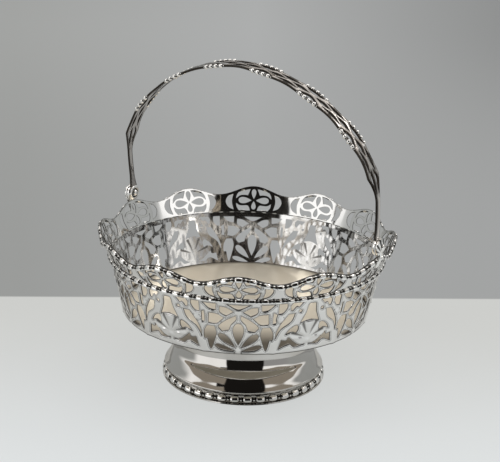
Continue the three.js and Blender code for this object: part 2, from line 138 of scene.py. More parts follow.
class Net:
    """The node tree of one material or world."""

    def __init__(self, tree):
        self.tree = tree
        tree.nodes.clear()

    def feed(self, node, values):
        for key, value in values.items():
            if isinstance(value, Value):
                self.tree.links.new(value.socket, node.inputs[key])
            else:
                node.inputs[key].default_value = value

    def add(self, kind, settings=None, values=()):
        """Add a node: settings first, then its inputs by place or by name. Returns its outputs."""
        node = self.tree.nodes.new(kind)
        for name, setting in (settings or {}).items():
            setattr(node, name, setting)
        self.feed(node, values if isinstance(values, dict) else dict(enumerate(values)))
        return [Value(self, socket) for socket in node.outputs if socket.enabled]

    def blend(self, share, first, second):
        """Mix two colours; each is a value or a (red, green, blue)."""
        node = self.tree.nodes.new("ShaderNodeMix")
        node.data_type = "RGBA"
        first, second = (c if isinstance(c, Value) else (*c, 1) for c in (first, second))
        self.feed(node, {0: share, 6: first, 7: second})
        return Value(self, node.outputs[2])


print("a Value joins numbers with", [name for name in vars(Value) if name.startswith("__r")])

# %% [markdown]
# ## The tent round the basket
# Polished silver has hardly any colour of its own: it shows what stands round it. In the
# picture that is a white tent with a dark slot where the camera looks in, a beige room over the
# tent's top, and a grey backdrop behind. Modelling real walls for it would cost time and cast
# odd shadows, so the world itself is painted by direction. `facing` runs from 1 toward the
# camera to -1 away from it, `aside` is the same as an angle, and z runs from 0 at the horizon
# to 1 overhead. Each pair of numbers says where one tone begins and ends its change.

# %% Paint the world by direction
SLOT_LEFT, SLOT_RIGHT = 29, 35
SLOT_SOFT, SLOT_TOP = 1.5, (0.80, 0.90)
SLOT_BLACK = (0.012, 0.011, 0.010)
HOOD_WIDENS, HOOD_FROM, HOOD_TO = 12, (0.495, 0.505), (0.54, 0.55)
TENT_WHITE = (1.2, 1.2, 1.2)
TENT_LEFT, TENT_RIGHT, TENT_SOFT = 88, 80, 7
TENT_TOP, TOP_RISE, RISE_FACING, TOP_SOFT = 0.43, 0.105, (0.42, 0.85), 0.02
LOW_RIGHT, LOW_RIGHT_TOP = (0.38, 0.38, 0.385), (0.34, 0.40)
BACKDROP, BACKDROP_TOP = (0.4074, 0.42, 0.4158), (0.25, 0.5)
ROOM_BEIGE = (0.33, 0.292, 0.245)
ROOM_DARK, DARK_FACING, DARK_TOP = (0.06, 0.05, 0.045), (-0.92, -0.72), (0.56, 0.66)
OVERHEAD, OVERHEAD_FROM = (0.42, 0.42, 0.42), (0.84, 0.92)
SIDES_MEET = 0.105
NO_CENTRE = 0.0001


def paint_world():
    world = bpy.data.worlds.new("tent")
    bpy.context.scene.world = world
    world.use_nodes = True
    net = Net(world.node_tree)
    x, y, z = net.add("ShaderNodeSeparateXYZ", {}, [net.add("ShaderNodeTexCoord")[0]])
    spread = (x * x + y * y) ** 0.5 + NO_CENTRE
    facing = (x * near_side.x + y * near_side.y) / spread
    on_right = ((y * near_side.x - x * near_side.y) / spread).rising(-SIDES_MEET, SIDES_MEET)
    on_left = 1 - on_right
    aside = facing.maths("ARCCOSINE", facing) * math.degrees(1)
    hood = z.rising(*HOOD_FROM) * z.falling(*HOOD_TO)
    past_slot = aside - ((hood * HOOD_WIDENS + SLOT_LEFT) * on_left + on_right * SLOT_RIGHT)
    slot = past_slot.falling(-SLOT_SOFT, SLOT_SOFT) * z.falling(*SLOT_TOP)
    past_tent = aside - (on_left * TENT_LEFT + on_right * TENT_RIGHT)
    behind = past_tent.rising(-TENT_SOFT, TENT_SOFT) * z.falling(*BACKDROP_TOP)
    dark = facing.falling(*DARK_FACING) * z.falling(*DARK_TOP)
    tent_top = facing.rising(*RISE_FACING) * TOP_RISE + TENT_TOP
    tone = net.blend(on_right * z.falling(*LOW_RIGHT_TOP), TENT_WHITE, LOW_RIGHT)
    tone = net.blend(behind, tone, BACKDROP)
    tone = net.blend((z - tent_top).rising(0.0, TOP_SOFT), tone, net.blend(dark, ROOM_BEIGE, ROOM_DARK))
    tone = net.blend(z.rising(*OVERHEAD_FROM), tone, OVERHEAD)
    tone = net.blend(slot, tone, SLOT_BLACK)
    background = net.add("ShaderNodeBackground", {}, {"Color": tone, "Strength": 1.0})[0]
    net.add("ShaderNodeOutputWorld", {}, {"Surface": background})


paint_world()
print("the slot in the tent is", SLOT_LEFT + SLOT_RIGHT, "degrees wide")

# %% [markdown]
# ## Table and backdrop
# The basket stands on a white table, and the far edge of the table runs slightly askew in front
# of a grey backdrop. Both are one broad plane here, since a real wall would shade the basket.
# What the camera sees is mostly a steady glow, which keeps the tones of the picture, and partly
# a matt surface, which takes the basket's shadow. The silver sees less of the glow, and more of
# it on the right, where the picture's silver mirrors a brighter table.

# %% Lay the table
STAGE_HALF = 4.0
STAGE_SUNK = 0.02 * MM
TABLE_FRONT, TABLE_BACK = -0.16, 97.9 * MM
TABLE_SKEW, EDGE_SOFT = 0.069, 1.2 * MM
TABLE_NEAR, TABLE_FAR = (0.80, 0.83, 0.84), (0.64, 0.648, 0.63)
BACKDROP_LOW, BACKDROP_HIGH = (0.40, 0.345, 0.385), (0.465, 0.408, 0.316)
BACKDROP_RISES = (0.1, 1.2)
COOLNESS = 0.98
CAMERA_REACH, SIDE_GAIN = 0.54, 5
SEEN_GLOW, MIRRORED_GLOW, MIRRORED_RIGHT = 0.8, 0.25, 0.4


def backdrop_grey(net, to_left, to_right, tones):
    """The grey of the backdrop from its middle to both sides: painted light and shade across one grey."""
    middle, left, right = tones
    grey = net.blend(to_left, (middle * COOLNESS, middle, middle), (left * COOLNESS, left, left * COOLNESS))
    return net.blend(to_right, grey, (right * COOLNESS, right, right))


def table_finish():
    finish = bpy.data.materials.new("table_and_backdrop")
    finish.use_nodes = True
    net = Net(finish.node_tree)
    x, y, z = net.add("ShaderNodeSeparateXYZ", {}, [net.add("ShaderNodeTexCoord")[3]])
    away = x * -near_side.x + y * -near_side.y
    leftward = y * -near_side.x - x * -near_side.y
    beyond = (away + leftward * TABLE_SKEW).rising(TABLE_BACK - EDGE_SOFT, TABLE_BACK + EDGE_SOFT)
    # The table is painted darker toward its far edge: painted shade where its light falls off.
    white = net.blend(away.rising(TABLE_FRONT, TABLE_BACK), TABLE_NEAR, TABLE_FAR)
    side = leftward / (away + CAMERA_REACH) * SIDE_GAIN
    to_left, to_right = side.clamped(), (side * -1).clamped()
    # The backdrop's grey also changes with distance, from a low tone to a high one: painted light and shade.
    low, high = (backdrop_grey(net, to_left, to_right, tones) for tones in (BACKDROP_LOW, BACKDROP_HIGH))
    tone = net.blend(beyond, white, net.blend(away.rising(*BACKDROP_RISES), low, high))
    matt = net.add("ShaderNodeBsdfPrincipled", {}, {
        "Base Color": tone, "Roughness": 0.55, "Specular IOR Level": 0.25,
    })[0]
    glow = net.add("ShaderNodeEmission", {}, {"Color": tone, "Strength": 1.0})[0]
    path = net.add("ShaderNodeLightPath")
    by_camera, by_mirror = path[0], path[3]
    share = by_camera * SEEN_GLOW + by_mirror * (MIRRORED_GLOW + to_right * MIRRORED_RIGHT)
    shader = net.add("ShaderNodeMixShader", {}, [share.clamped(), matt, glow])[0]
    net.add("ShaderNodeOutputMaterial", {}, {"Surface": shader})
    return finish


def lay_table():
    corners = [(x * STAGE_HALF, y * STAGE_HALF, -STAGE_SUNK) for x, y in ((-1, -1), (1, -1), (1, 1), (-1, 1))]
    mesh = bpy.data.meshes.new("table")
    mesh.from_pydata(corners, [], [(0, 1, 2, 3)])
    mesh.materials.append(table_finish())
    table = bpy.data.objects.new("table", mesh)
    bpy.context.scene.collection.objects.link(table)


lay_table()
print("the table ends", round(TABLE_BACK / MM), "mm behind the basket's middle")

# %% [markdown]
# ## Lamps
# Two broad, weak lamps fill the bowl and lay a soft shadow on the table. They hang high beyond
# the basket, one to the right and one to the left, away from the dark slot. Two small lamps stand
# for the bright spots of the studio that glint on every bead and on the rounded edges.

# %% Hang the lamps
LAMPS = (
    ("soft_key", (0.20, 0.40, 1.0), 1.3, 3.6),
    ("soft_fill", (-0.40, 0.10, 0.95), 1.1, 1.7),
    ("spark_left", (-0.393, -0.509, 0.766), 0.22, 0.8),
    ("spark_right", (0.395, 0.506, 0.766), 0.22, 0.8),
)
for name, place, width, power in LAMPS:
    lamp = bpy.data.lights.new(name, "AREA")
    lamp.size = width
    lamp.energy = power
    holder = bpy.data.objects.new(name, lamp)
    holder.location = place
    holder.rotation_euler = (VIEW_TARGET - Vector(place)).to_track_quat("-Z", "Y").to_euler()
    bpy.context.scene.collection.objects.link(holder)
print("lamps:", [name for name, *_ in LAMPS])

# %% [markdown]
# ## The silver finishes
# Old silver is polished on the high places and stays dark where a cloth can't reach. Its gloss
# varies in soft patches, and fine rubbing marks blur the reflections. A mirror with one number
# for its roughness looks like chrome, so the roughness follows two sizes of noise, and the
# tarnish follows an attribute that each piece stores on its own recessed corners. On the floor
# of the bowl that attribute also holds painted shade and a painted shadow. The pierced sheets
# have an engraved line beside every cut. It follows a second attribute, the distance to the
# nearest cut in millimetres, and it is a groove that also holds dirt.

# %% Finishes
PATCH_SCALE, GRAIN_SCALE = 90.0, 1900.0
DIRT_AND_SHADE_RANGE = (0.15, 0.95)
ENGRAVED_AT, ENGRAVED_HALF, ENGRAVED_DIRT = 0.66, 0.16, 0.7
DIRT_AND_SHADE_ROUGH, PATCH_ROUGH, GRAIN_ROUGH = 0.25, 0.06, 0.02
PATCH_MIDDLE = 0.45
SCRATCH = 0.03
SPIN_PITCH = 0.6 * MM
BUMP_STRENGTH, BUMP_DEPTH = 0.35, 0.05 * MM


def silver_finish(name, colour, tarnish_and_shade_tone, gloss, mottle=0.35, spun=0.0, engraved=0.0):
    """Polished silver. `gloss` is the roughness of its brightest patches."""
    finish = bpy.data.materials.new(name)
    finish.use_nodes = True
    net = Net(finish.node_tree)
    place = net.add("ShaderNodeTexCoord")[3]
    patches = net.add("ShaderNodeTexNoise", {}, {"Vector": place, "Scale": PATCH_SCALE, "Detail": 3.0})[0]
    grain = net.add("ShaderNodeTexNoise", {}, {"Vector": place, "Scale": GRAIN_SCALE, "Detail": 2.0})[0]
    # This mask is tarnish in the hollows and, on the floor of the bowl, painted shade as well; it darkens the
    # colour toward the dark tone and dulls the gloss.
    dirt_and_shade = net.add("ShaderNodeAttribute", {"attribute_name": "recess"})[2].rising(*DIRT_AND_SHADE_RANGE)
    height = grain * SCRATCH
    if engraved:
        from_line = net.add("ShaderNodeAttribute", {"attribute_name": "from_cut"})[2] - ENGRAVED_AT
        groove = (1 - from_line.maths("ABSOLUTE", from_line) / ENGRAVED_HALF).clamped()
        dirt_and_shade = (dirt_and_shade + groove * ENGRAVED_DIRT).clamped()
        height = height - groove * engraved
    if spun:
        x, y, z = net.add("ShaderNodeSeparateXYZ", {}, [place])
        turns = ((x * x + y * y) ** 0.5 + z) * (2 * math.pi / SPIN_PITCH)
        height = height + turns.maths("SINE", turns) * spun
    shade = (dirt_and_shade + (patches - 0.5) * mottle).clamped()
    rough = gloss + dirt_and_shade * DIRT_AND_SHADE_ROUGH + (patches - PATCH_MIDDLE) * PATCH_ROUGH + (grain - 0.5) * GRAIN_ROUGH
    bump = net.add("ShaderNodeBump", {}, {
        "Strength": BUMP_STRENGTH, "Distance": BUMP_DEPTH, "Height": height,
    })[0]
    shader = net.add("ShaderNodeBsdfPrincipled", {}, {
        "Base Color": net.blend(shade, colour, tarnish_and_shade_tone), "Metallic": 1.0,
        "Roughness": rough.clamped(), "Normal": bump,
    })[0]
    net.add("ShaderNodeOutputMaterial", {}, {"Surface": shader})
    return finish


sheet_silver = silver_finish("pierced_sheet_silver", (0.83, 0.82, 0.80), (0.05, 0.044, 0.036), 0.06,
                             mottle=0.1, engraved=1.6)
handle_silver = silver_finish("pierced_handle_silver", (0.68, 0.645, 0.61), (0.04, 0.034, 0.028), 0.08,
                              mottle=0.2, engraved=1.0)
wire_silver = silver_finish("beaded_wire_silver", (0.93, 0.92, 0.895), (0.02, 0.018, 0.015), 0.05, mottle=0.1)
spun_silver = silver_finish("spun_foot_silver", (0.63, 0.61, 0.58), (0.24, 0.217, 0.185), 0.04, spun=0.004)
worn_silver = silver_finish("worn_floor_silver", (0.93, 0.86, 0.73), (0.17, 0.15, 0.12), 0.47, mottle=0.15)
print("finishes:", [m.name for m in bpy.data.materials if m.name.endswith("silver")])

# %% [markdown]
# ## From numbers to a piece
# Every piece ends the same way: a mesh in metres, smooth where it is round and sharp where it is
# cut, with one finish, riding on the body that carries it. These helpers keep those steps in one
# place, so that the cells below are only about shape.

# %% Make, finish and hang a piece
WELD_TURNED, WELD_NEEDLE = 0.001, 0.0001


def weld(mesh, distance, mend=False):
    """Join the points that meet; to mend also drops needle faces and turns all faces outward."""
    work = bmesh.new()
    work.from_mesh(mesh)
    bmesh.ops.remove_doubles(work, verts=work.verts, dist=distance * MM)
    if mend:
        bmesh.ops.dissolve_degenerate(work, edges=work.edges, dist=WELD_NEEDLE * MM)
        bmesh.ops.recalc_face_normals(work, faces=work.faces)
    work.to_mesh(mesh)
    work.free()


def make_piece(name, points, faces, finish, recess, sharp=38, merge=0.0, from_cut=None):
    """A mesh object from points in millimetres."""
    mesh = bpy.data.meshes.new(name)
    mesh.from_pydata([(x * MM, y * MM, z * MM) for x, y, z in points], [], faces)
    for attribute, values in (("recess", recess), ("from_cut", from_cut)):
        if values is not None:
            mesh.attributes.new(attribute, "FLOAT", "POINT").data.foreach_set("value", values)
    if merge:
        weld(mesh, merge)
    mesh.shade_smooth()
    mesh.set_sharp_from_angle(angle=math.radians(sharp))
    mesh.materials.append(finish)
    piece = bpy.data.objects.new(name, mesh)
    bpy.context.scene.collection.objects.link(piece)
    return piece


def hang(piece, body, slot, *nodes):
    """Put a finished piece on its body, in the place of the plain solids it stands for."""
    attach(piece, body)
    if nodes:
        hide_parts(*nodes)
    print(f"{piece.name}: {len(piece.data.polygons)} faces, on {body}")


def turned(name, profile, finish, sides, recess=None):
    """Spin a closed profile of (radius, height) pairs, going counter-clockwise, about the Z axis."""
    points, faces, marks = [], [], []
    count = len(profile)
    for i in range(sides):
        turn = 2 * math.pi * i / sides
        points += [(radius * math.cos(turn), radius * math.sin(turn), height) for radius, height in profile]
        marks += recess or [0.0] * count
    for i in range(sides):
        here, ahead = i * count, ((i + 1) % sides) * count
        for k in range(count):
            onward = (k + 1) % count
            if profile[k][0] or profile[onward][0]:
                faces.append((here + k, ahead + k, ahead + onward, here + onward))
    piece = make_piece(name, points, faces, finish, marks)
    weld(piece.data, WELD_TURNED, mend=True)
    return piece


def curve_through(points, steps):
    """A smooth line through the points (a Catmull-Rom spline)."""
    smooth = []
    last = len(points) - 1
    for i in range(last):
        b, c = Vector(points[i]), Vector(points[i + 1])
        a = Vector(points[i - 1]) if i else b * 2 - c
        d = Vector(points[i + 2]) if i + 2 <= last else c * 2 - b
        for step in range(steps):
            t = step / steps
            smooth.append((b * 2 + (c - a) * t + (a * 2 - b * 5 + c * 4 - d) * t * t
                           + (b * 3 - a - c * 3 + d) * t ** 3) / 2)
    return smooth + [Vector(points[last])]


print("helpers: weld, make_piece, hang, turned, curve_through")

# %% [markdown]
# ## The spun foot
# The foot is a thin disc of silver pressed over a wooden form on a lathe: a shoulder that swells
# out over the base ring, and a broad hollow neck that is soldered under the bowl. A shape that
# is round everywhere is only a profile turned about an axis, so the outer line is drawn once as
# a smooth curve, the inner line follows at the thickness of the metal, and both are spun
# together. Neck and shoulder face the camera at different slopes, so each of them mirrors the
# dark slot and the tent in its own way.

# %% Spin the foot
FOOT_HEIGHT, FOOT_SHEET, FOOT_RADIUS = 34.8, 0.8, 39.4
FOOT_SIDES = 160
RING_INNER, RING_TOP = 34.6, 0.9
FOOT_WIRE, WIRE_SEAM = 3.2, 0.3
WIRE_TOP = RING_TOP + WIRE_SEAM + FOOT_WIRE
SHELL_FOOT = FOOT_RADIUS - FOOT_WIRE - 0.6
SHELL_STEP = [(SHELL_FOOT, 0.1), (37.7, 0.3), (38.2, 0.6), (38.5, 1.0), (38.55, 1.35), (38.5, 1.65)]
FOOT_LINE = [(38.25, 6.3), (37.5, 7.5), (36.2, 9.7), (34.6, 12.0), (33.0, 13.9), (31.6, 16.5), (30.8, 19.5),
             (30.4, 23.0), (30.3, 28.5), (31.2, 34.5)]
SHELL_INSIDE = 35.0


def offset_line(line, distance):
    moved_line = []
    for i, point in enumerate(line):
        run = (line[min(i + 1, len(line) - 1)] - line[max(i - 1, 0)]).normalized()
        moved_line.append(Vector((point.x - run.y * distance, point.y + run.x * distance)))
    return moved_line


foot_line = curve_through(FOOT_LINE, steps=7)
outer = [(SHELL_FOOT, RING_TOP)] + [(radius, WIRE_TOP + rise) for radius, rise in SHELL_STEP]
outer += [(p.x, p.y) for p in foot_line]
inner = [(p.x, min(p.y, FOOT_HEIGHT - 0.3)) for p in reversed(offset_line(foot_line, FOOT_SHEET))
         if p.x < SHELL_INSIDE]
inner += [(SHELL_FOOT - FOOT_SHEET, WIRE_TOP + 0.8), (SHELL_FOOT - FOOT_SHEET, RING_TOP)]
foot = turned("foot_dome", outer + inner, spun_silver, FOOT_SIDES)
hang(foot, "basket", "bright_silver", "foot_shell")

base = turned("foot_ring", [
    (RING_INNER, 0.0), (FOOT_RADIUS - 0.3, 0.0), (FOOT_RADIUS, 0.3), (FOOT_RADIUS - 0.1, 0.7),
    (FOOT_RADIUS - 0.5, RING_TOP), (RING_INNER, RING_TOP),
], spun_silver, FOOT_SIDES)
hang(base, "basket", "silver", "foot_base_ring")

# %% [markdown]
# ## The floor of the bowl
# The floor is a plain disc, worn dull by what lay on it. Its colour is darkened in three places:
# the underside, as painted shade under the bowl; a ring toward the wall, tarnish in the corner and
# painted shade of the wall farther in; and a crescent on the side that the camera looks across,
# the painted shadow of the front wall. The profile carries the underside and the ring, and the
# crescent is a rule of each point's place.

# %% Turn the floor
FLOOR_TOP = 35.2 * MM
CRESCENT_FROM, CRESCENT_GROWS, CRESCENT_NARROW = 20, 30, 1.5
FLOOR_LINE = [(0.0, 34.8), (57.4, 34.8), (57.6, 35.0), (57.6, 35.6), (57.4, 35.7), (57.0, 35.7),
              (54.5, 35.69), (50.0, 35.66), (44.0, 35.63), (36.0, 35.6), (28.0, 35.57), (20.0, 35.56),
              (0.0, 35.55)]
# How dark each point of the profile is: painted shade on the underside, tarnish in the corner at the wall,
# and painted shade fading inward over the top.
FLOOR_TARNISH_AND_SHADE = [0.55, 0.55, 1, 1, 1, 0.7, 0.4, 0.3, 0.2, 0.1, 0, 0, 0]


def front_wall_painted_shadow(point):
    """How dark the painted shadow of the front wall makes a point of the floor on the camera's side, from 0
    to 1.
    """
    reach = point.xy.length
    if reach < CRESCENT_FROM * MM or point.z < FLOOR_TOP:
        return 0.0
    facing = (point.x * toward_camera.x + point.y * toward_camera.y) / reach
    return max(0.0, facing) ** CRESCENT_NARROW * min(1.0, (reach / MM - CRESCENT_FROM) / CRESCENT_GROWS)


floor = turned("bowl_bottom", FLOOR_LINE, worn_silver, FOOT_SIDES, FLOOR_TARNISH_AND_SHADE)
# The crescent of painted shadow from the front wall is added to the darkening of the profile.
for vertex, mark in zip(floor.data.vertices, floor.data.attributes["recess"].data):
    mark.value = max(mark.value, front_wall_painted_shadow(vertex.co))
hang(floor, "basket", "worn_silver", "bowl_floor")

# %% [markdown]
# ## Openings of the pierced work
# The wall was cut from flat sheet with a press or a fret saw, then bent round. Cutting holes out
# of a bent mesh with Boolean modifiers is slow and leaves ragged triangles. It is far cleaner to
# do what the silversmith did: draw the openings in the flat, fill the metal between them with
# even triangles, and bend the filled sheet afterwards. An opening is a list of points; a line is
# drawn smoothly through them, except at those marked as sharp corners.

# %% Draw openings in the flat
CURVE_STEPS = 6
PETAL_FULLNESS = 0.77


def opening(points, sharp):
    """A closed outline through the points, with corners at the indices in `sharp`."""
    points = [Vector(p) for p in points]
    outline = []
    for start, end in zip(sharp, sharp[1:] + sharp[:1]):
        count = (end - start) % len(points) or len(points)
        stretch = [points[(start + i) % len(points)] for i in range(count + 1)]
        outline += curve_through(stretch, CURVE_STEPS)[:-1]
    return outline


def petal(root, lean, reach, width, steps=26):
    """A drop with its point at the root, leaning from upright by so many degrees."""
    axis = Vector((math.sin(math.radians(lean)), math.cos(math.radians(lean))))
    across = Vector((axis.y, -axis.x))
    outline = []
    for i in range(steps):
        turn = 2 * math.pi * i / steps
        along = reach * (1 - math.cos(turn)) / 2
        aside = width / 2 * math.sin(turn) * math.sin(turn / 2) / PETAL_FULLNESS
        outline.append(Vector(root) + axis * along + across * aside)
    return outline


def disc(centre, radius, steps=14):
    return [Vector(centre) + Vector((math.cos(t), math.sin(t))) * radius
            for t in (2 * math.pi * i / steps for i in range(steps))]


def both(outline):
    """An opening and its mirror image."""
    return [outline, [Vector((-p.x, p.y)) for p in reversed(outline)]]


def moved(outlines, shift):
    return [[p + Vector((shift, 0)) for p in outline] for outline in outlines]


print("points round a petal:", len(petal((0, 0), 0, 1, 1)))

# %% [markdown]
# ## Two bays of openings
# Lengths are millimetres in the flat, from the middle of a bay and from its foot. The palmette has
# five petals that grow from one root, and the arch has a bell-shaped light over its shell.
# Openings beside the middle are drawn once and mirrored. A narrow light crosses the bay's edge.

# %% Openings of the wall
BAY_WIDTH, WALL_FIELD = 31.4, 27.8


def palmette_bay():
    cuts = [petal((0, 4.4), 0, 11.6, 4.9)]
    cuts += both(petal((1.2, 3.2), 47, 10.0, 3.6))
    cuts += both(petal((1.4, 1.3), 74, 9.4, 2.6))
    cuts += [opening([(-5.0, 25.5), (0, 23.0), (5.0, 25.5)], (0, 2))]
    cuts += both(opening([(1.0, 20.1), (1.0, 17.6), (3.1, 14.9), (3.9, 12.2), (7.1, 11.3), (8.6, 14.0),
                          (5.2, 17.5)], (0, 3, 4)))
    cuts += both(opening([(1.8, 21.8), (5.1, 19.5), (7.9, 21.3), (8.0, 24.4), (5.0, 23.9)], (0, 1, 3)))
    cuts += both(opening([(9.2, 25.6), (15.2, 25.6), (12.6, 22.9), (9.4, 22.1)], (0, 1, 3)))
    cuts += both(opening([(6.0, 18.4), (9.3, 15.2), (13.0, 15.3), (12.6, 20.7), (8.9, 20.3)], (0, 2, 3)))
    cuts += both(opening([(10.2, 13.9), (13.5, 13.9), (15.0, 10.9), (15.1, 7.2), (13.7, 6.9), (12.9, 2.6),
                          (12.2, 1.7), (11.5, 2.6), (9.5, 9.8)], (0, 1, 4)))
    return cuts


def arch_bay():
    cuts = [opening([(-1.7, 24.4), (-2.5, 20.2), (-4.6, 15.0), (0, 16.1), (4.6, 15.0), (2.5, 20.2),
                     (1.7, 24.4), (0, 24.9)], (2, 4))]
    cuts += both(opening([(4.1, 25.9), (8.9, 26.0), (9.9, 24.3), (9.6, 22.0), (8.6, 22.0), (7.2, 23.9),
                          (6.1, 23.3)], (0, 1, 3, 6)))
    cuts += both(opening([(11.2, 25.9), (14.9, 25.9), (14.9, 20.5), (12.8, 21.0), (11.2, 23.4)], (0, 1, 2)))
    cuts += both(disc((5.2, 21.4), 0.8))
    cuts += both(opening([(7.4, 20.5), (10.3, 20.3), (13.6, 15.0), (15.1, 11.0), (15.2, 7.8), (12.9, 12.6),
                          (8.7, 16.2)], (0, 1, 4)))
    cuts += both(opening([(5.3, 13.6), (6.7, 14.0), (9.2, 12.2), (11.0, 9.4), (8.0, 10.6), (5.9, 9.7),
                          (5.1, 11.4)], (3, 5)))
    cuts += both(opening([(1.1, 3.2), (4.6, 4.0), (9.4, 8.2), (10.2, 6.5), (12.5, 6.8), (13.6, 2.0),
                          (8.7, 4.2), (6.0, 2.4)], (0, 2, 4, 5)))
    return cuts


def volute_gap():
    """The narrow light between a palmette's bar and the next scroll, across a bay's edge."""
    return opening([(14.4, 15.4), (16.2, 15.8), (15.9, 18.0), (16.4, 20.4), (14.5, 21.5), (14.3, 18.4)],
                   (0, 1, 3, 4))


def two_bays():
    """A palmette at the middle of the unit's left half and an arch in its right half."""
    middle = BAY_WIDTH / 2
    return moved(palmette_bay(), -middle) + moved(arch_bay(), middle) + moved(both(volute_gap()), -middle)


print("openings in two bays:", len(two_bays()))

# %% [markdown]
# ## Lines and the metal between them
# The fill needs outlines whose points are evenly spaced, and an answer to whether a point lies in
# metal or in an opening. Counting how often a level ray crosses an outline answers that for any
# shape. A cut can also be drawn in a little, to look burnished over its edge.

# %% Outlines and the region of metal
CUT_SPACING = 0.5
CROWDED = 0.45


def resampled(outline, spacing):
    out = []
    for i, start in enumerate(outline):
        end = outline[(i + 1) % len(outline)]
        pieces = max(1, math.ceil((end - start).length / spacing - 1e-6))
        out += [start.lerp(end, k / pieces) for k in range(pieces)]
    return out


def area_of(outline):
    """Twice the signed area: positive where the outline runs counter-clockwise."""
    return sum(p.cross(q) for p, q in zip(outline, outline[1:] + outline[:1]))


def evened(outline):
    """The same closed outline with its points about evenly spaced."""
    out = [outline[0]]
    for point in outline[1:]:
        if (point - out[-1]).length > CUT_SPACING * CROWDED:
            out.append(point)
    if (out[-1] - out[0]).length < CUT_SPACING * CROWDED:
        out.pop()
    return resampled(out, CUT_SPACING)


def tightened(outline, inset):
    """The outline drawn in by a small distance, as a cut burnished over its edge looks."""
    outline = evened(outline)
    area = area_of(outline)
    drawn = []
    for i, point in enumerate(outline):
        run = (outline[(i + 1) % len(outline)] - outline[i - 1]).normalized()
        drawn.append(point + Vector((-run.y, run.x)) * math.copysign(inset, area))
    return drawn


def inside(point, outline):
    """Whether a point lies inside a closed outline, by counting crossings."""
    hit = False
    x, y = point.x, point.y
    before = outline[-1]
    for here in outline:
        if (here.y > y) != (before.y > y):
            if x < (before.x - here.x) * (y - here.y) / (before.y - here.y) + here.x:
                hit = not hit
        before = here
    return hit


def bounds_of(outline):
    xs, ys = [p.x for p in outline], [p.y for p in outline]
    return min(xs), min(ys), max(xs), max(ys)


class Region:
    """The metal: inside an outline and outside its cuts."""

    def __init__(self, outline, cuts):
        self.outline = outline
        self.cuts = [(cut, bounds_of(cut)) for cut in cuts]

    def holds(self, point):
        if not inside(point, self.outline):
            return False
        for cut, (left, low, right, high) in self.cuts:
            if left <= point.x <= right and low <= point.y <= high and inside(point, cut):
                return False
        return True


print("a disc's area, doubled:", round(area_of(disc((0, 0), 1)), 2))

# %% [markdown]
# ## Filling the sheet
# `delaunay_2d_cdt` fills an outline with triangles that respect every drawn line. Left alone it
# would make long slivers, so a honeycomb of loose points keeps the triangles even, and a second
# line of points just inside each cut lets the cut edge be rounded over, as polishing rounds it.
# The distance from each point to the nearest cut then gives the height of the metal there.

# %% Fill a sheet with triangles
LIP = 0.2
LIP_ROOM, COMB_ROOM = LIP * 0.8, LIP + 0.22
ROW_SHARE = 0.866


def distance_to(cuts, extra):
    """A function that gives the distance from a point to the nearest cut or extra point."""
    spots = []
    for cut in cuts:
        for i, point in enumerate(cut):
            spots += [point, (point + cut[i - 1]) / 2]
    spots += extra
    near = kdtree.KDTree(len(spots))
    for i, spot in enumerate(spots):
        near.insert((spot.x, spot.y, 0), i)
    near.balance()
    return lambda point: near.find((point.x, point.y, 0))[2]


def lip_points(cuts, region, reach):
    """A second line of points, a lip's width inside the metal."""
    for cut in cuts:
        turn = 1 if area_of(cut) > 0 else -1
        for i, point in enumerate(cut):
            run = (cut[(i + 1) % len(cut)] - cut[i - 1]).normalized()
            spot = point + Vector((run.y, -run.x)) * LIP * turn
            if reach(spot) > LIP_ROOM and region.holds(spot):
                yield spot


def honeycomb(outline, spacing, region, reach):
    """Points in staggered rows, wherever there is metal away from a cut."""
    left, low, right, high = bounds_of(outline)
    for row in range(int((high - low) / (spacing * ROW_SHARE)) + 1):
        y = low + (row + 0.5) * spacing * ROW_SHARE
        shift = spacing / 2 if row % 2 else 0
        for column in range(int((right - left) / spacing) + 1):
            spot = Vector((left + shift + (column + 0.25) * spacing, y))
            if spot.x < right - 0.25 * spacing and reach(spot) > COMB_ROOM and region.holds(spot):
                yield spot


def fill_sheet(outline, cuts, spacing, extra=()):
    """Triangles of the metal in the flat: points, faces and each point's distance to a cut."""
    outline = resampled(outline, spacing)
    cuts = [evened(cut) for cut in cuts]
    region = Region(outline, cuts)
    reach = distance_to(cuts, extra)
    points, edges = [], []
    for line in [outline] + cuts:
        first = len(points)
        points += line
        edges += [(first + i, first + (i + 1) % len(line)) for i in range(len(line))]
    points += lip_points(cuts, region, reach)
    points += honeycomb(outline, spacing, region, reach)
    found = delaunay_2d_cdt(points, edges, [], 0, 1e-5, True)
    corners, triangles = found[0], found[2]
    kept = [t for t in triangles if region.holds((corners[t[0]] + corners[t[1]] + corners[t[2]]) / 3)]
    used = sorted({i for t in kept for i in t})
    renumber = {old: new for new, old in enumerate(used)}
    flat = [corners[i] for i in used]
    faces = []
    for a, b, c in kept:
        if (corners[b] - corners[a]).cross(corners[c] - corners[a]) < 0:
            b, c = c, b
        faces.append((renumber[a], renumber[b], renumber[c]))
    return flat, faces, [reach(p) for p in flat]


print("rows of the honeycomb stand", ROW_SHARE, "of its spacing apart")

# %% [markdown]
# ## Bending the sheet
# A flat point becomes two, one on each face of the sheet, and a rule says where on the object
# they lie. The outer face is crowned: it drops toward each cut. A strip between the faces makes
# the cut edge. The dirt and the distance to a cut go along with the points, for the material.

# %% Crown and bend a sheet
CROWN, GRIME = (1.3, 0.5), (0.45, 0.25)
RELIEF_ROOM, BACK_GRIME, FARTHEST = 0.6, 0.25, 2.0


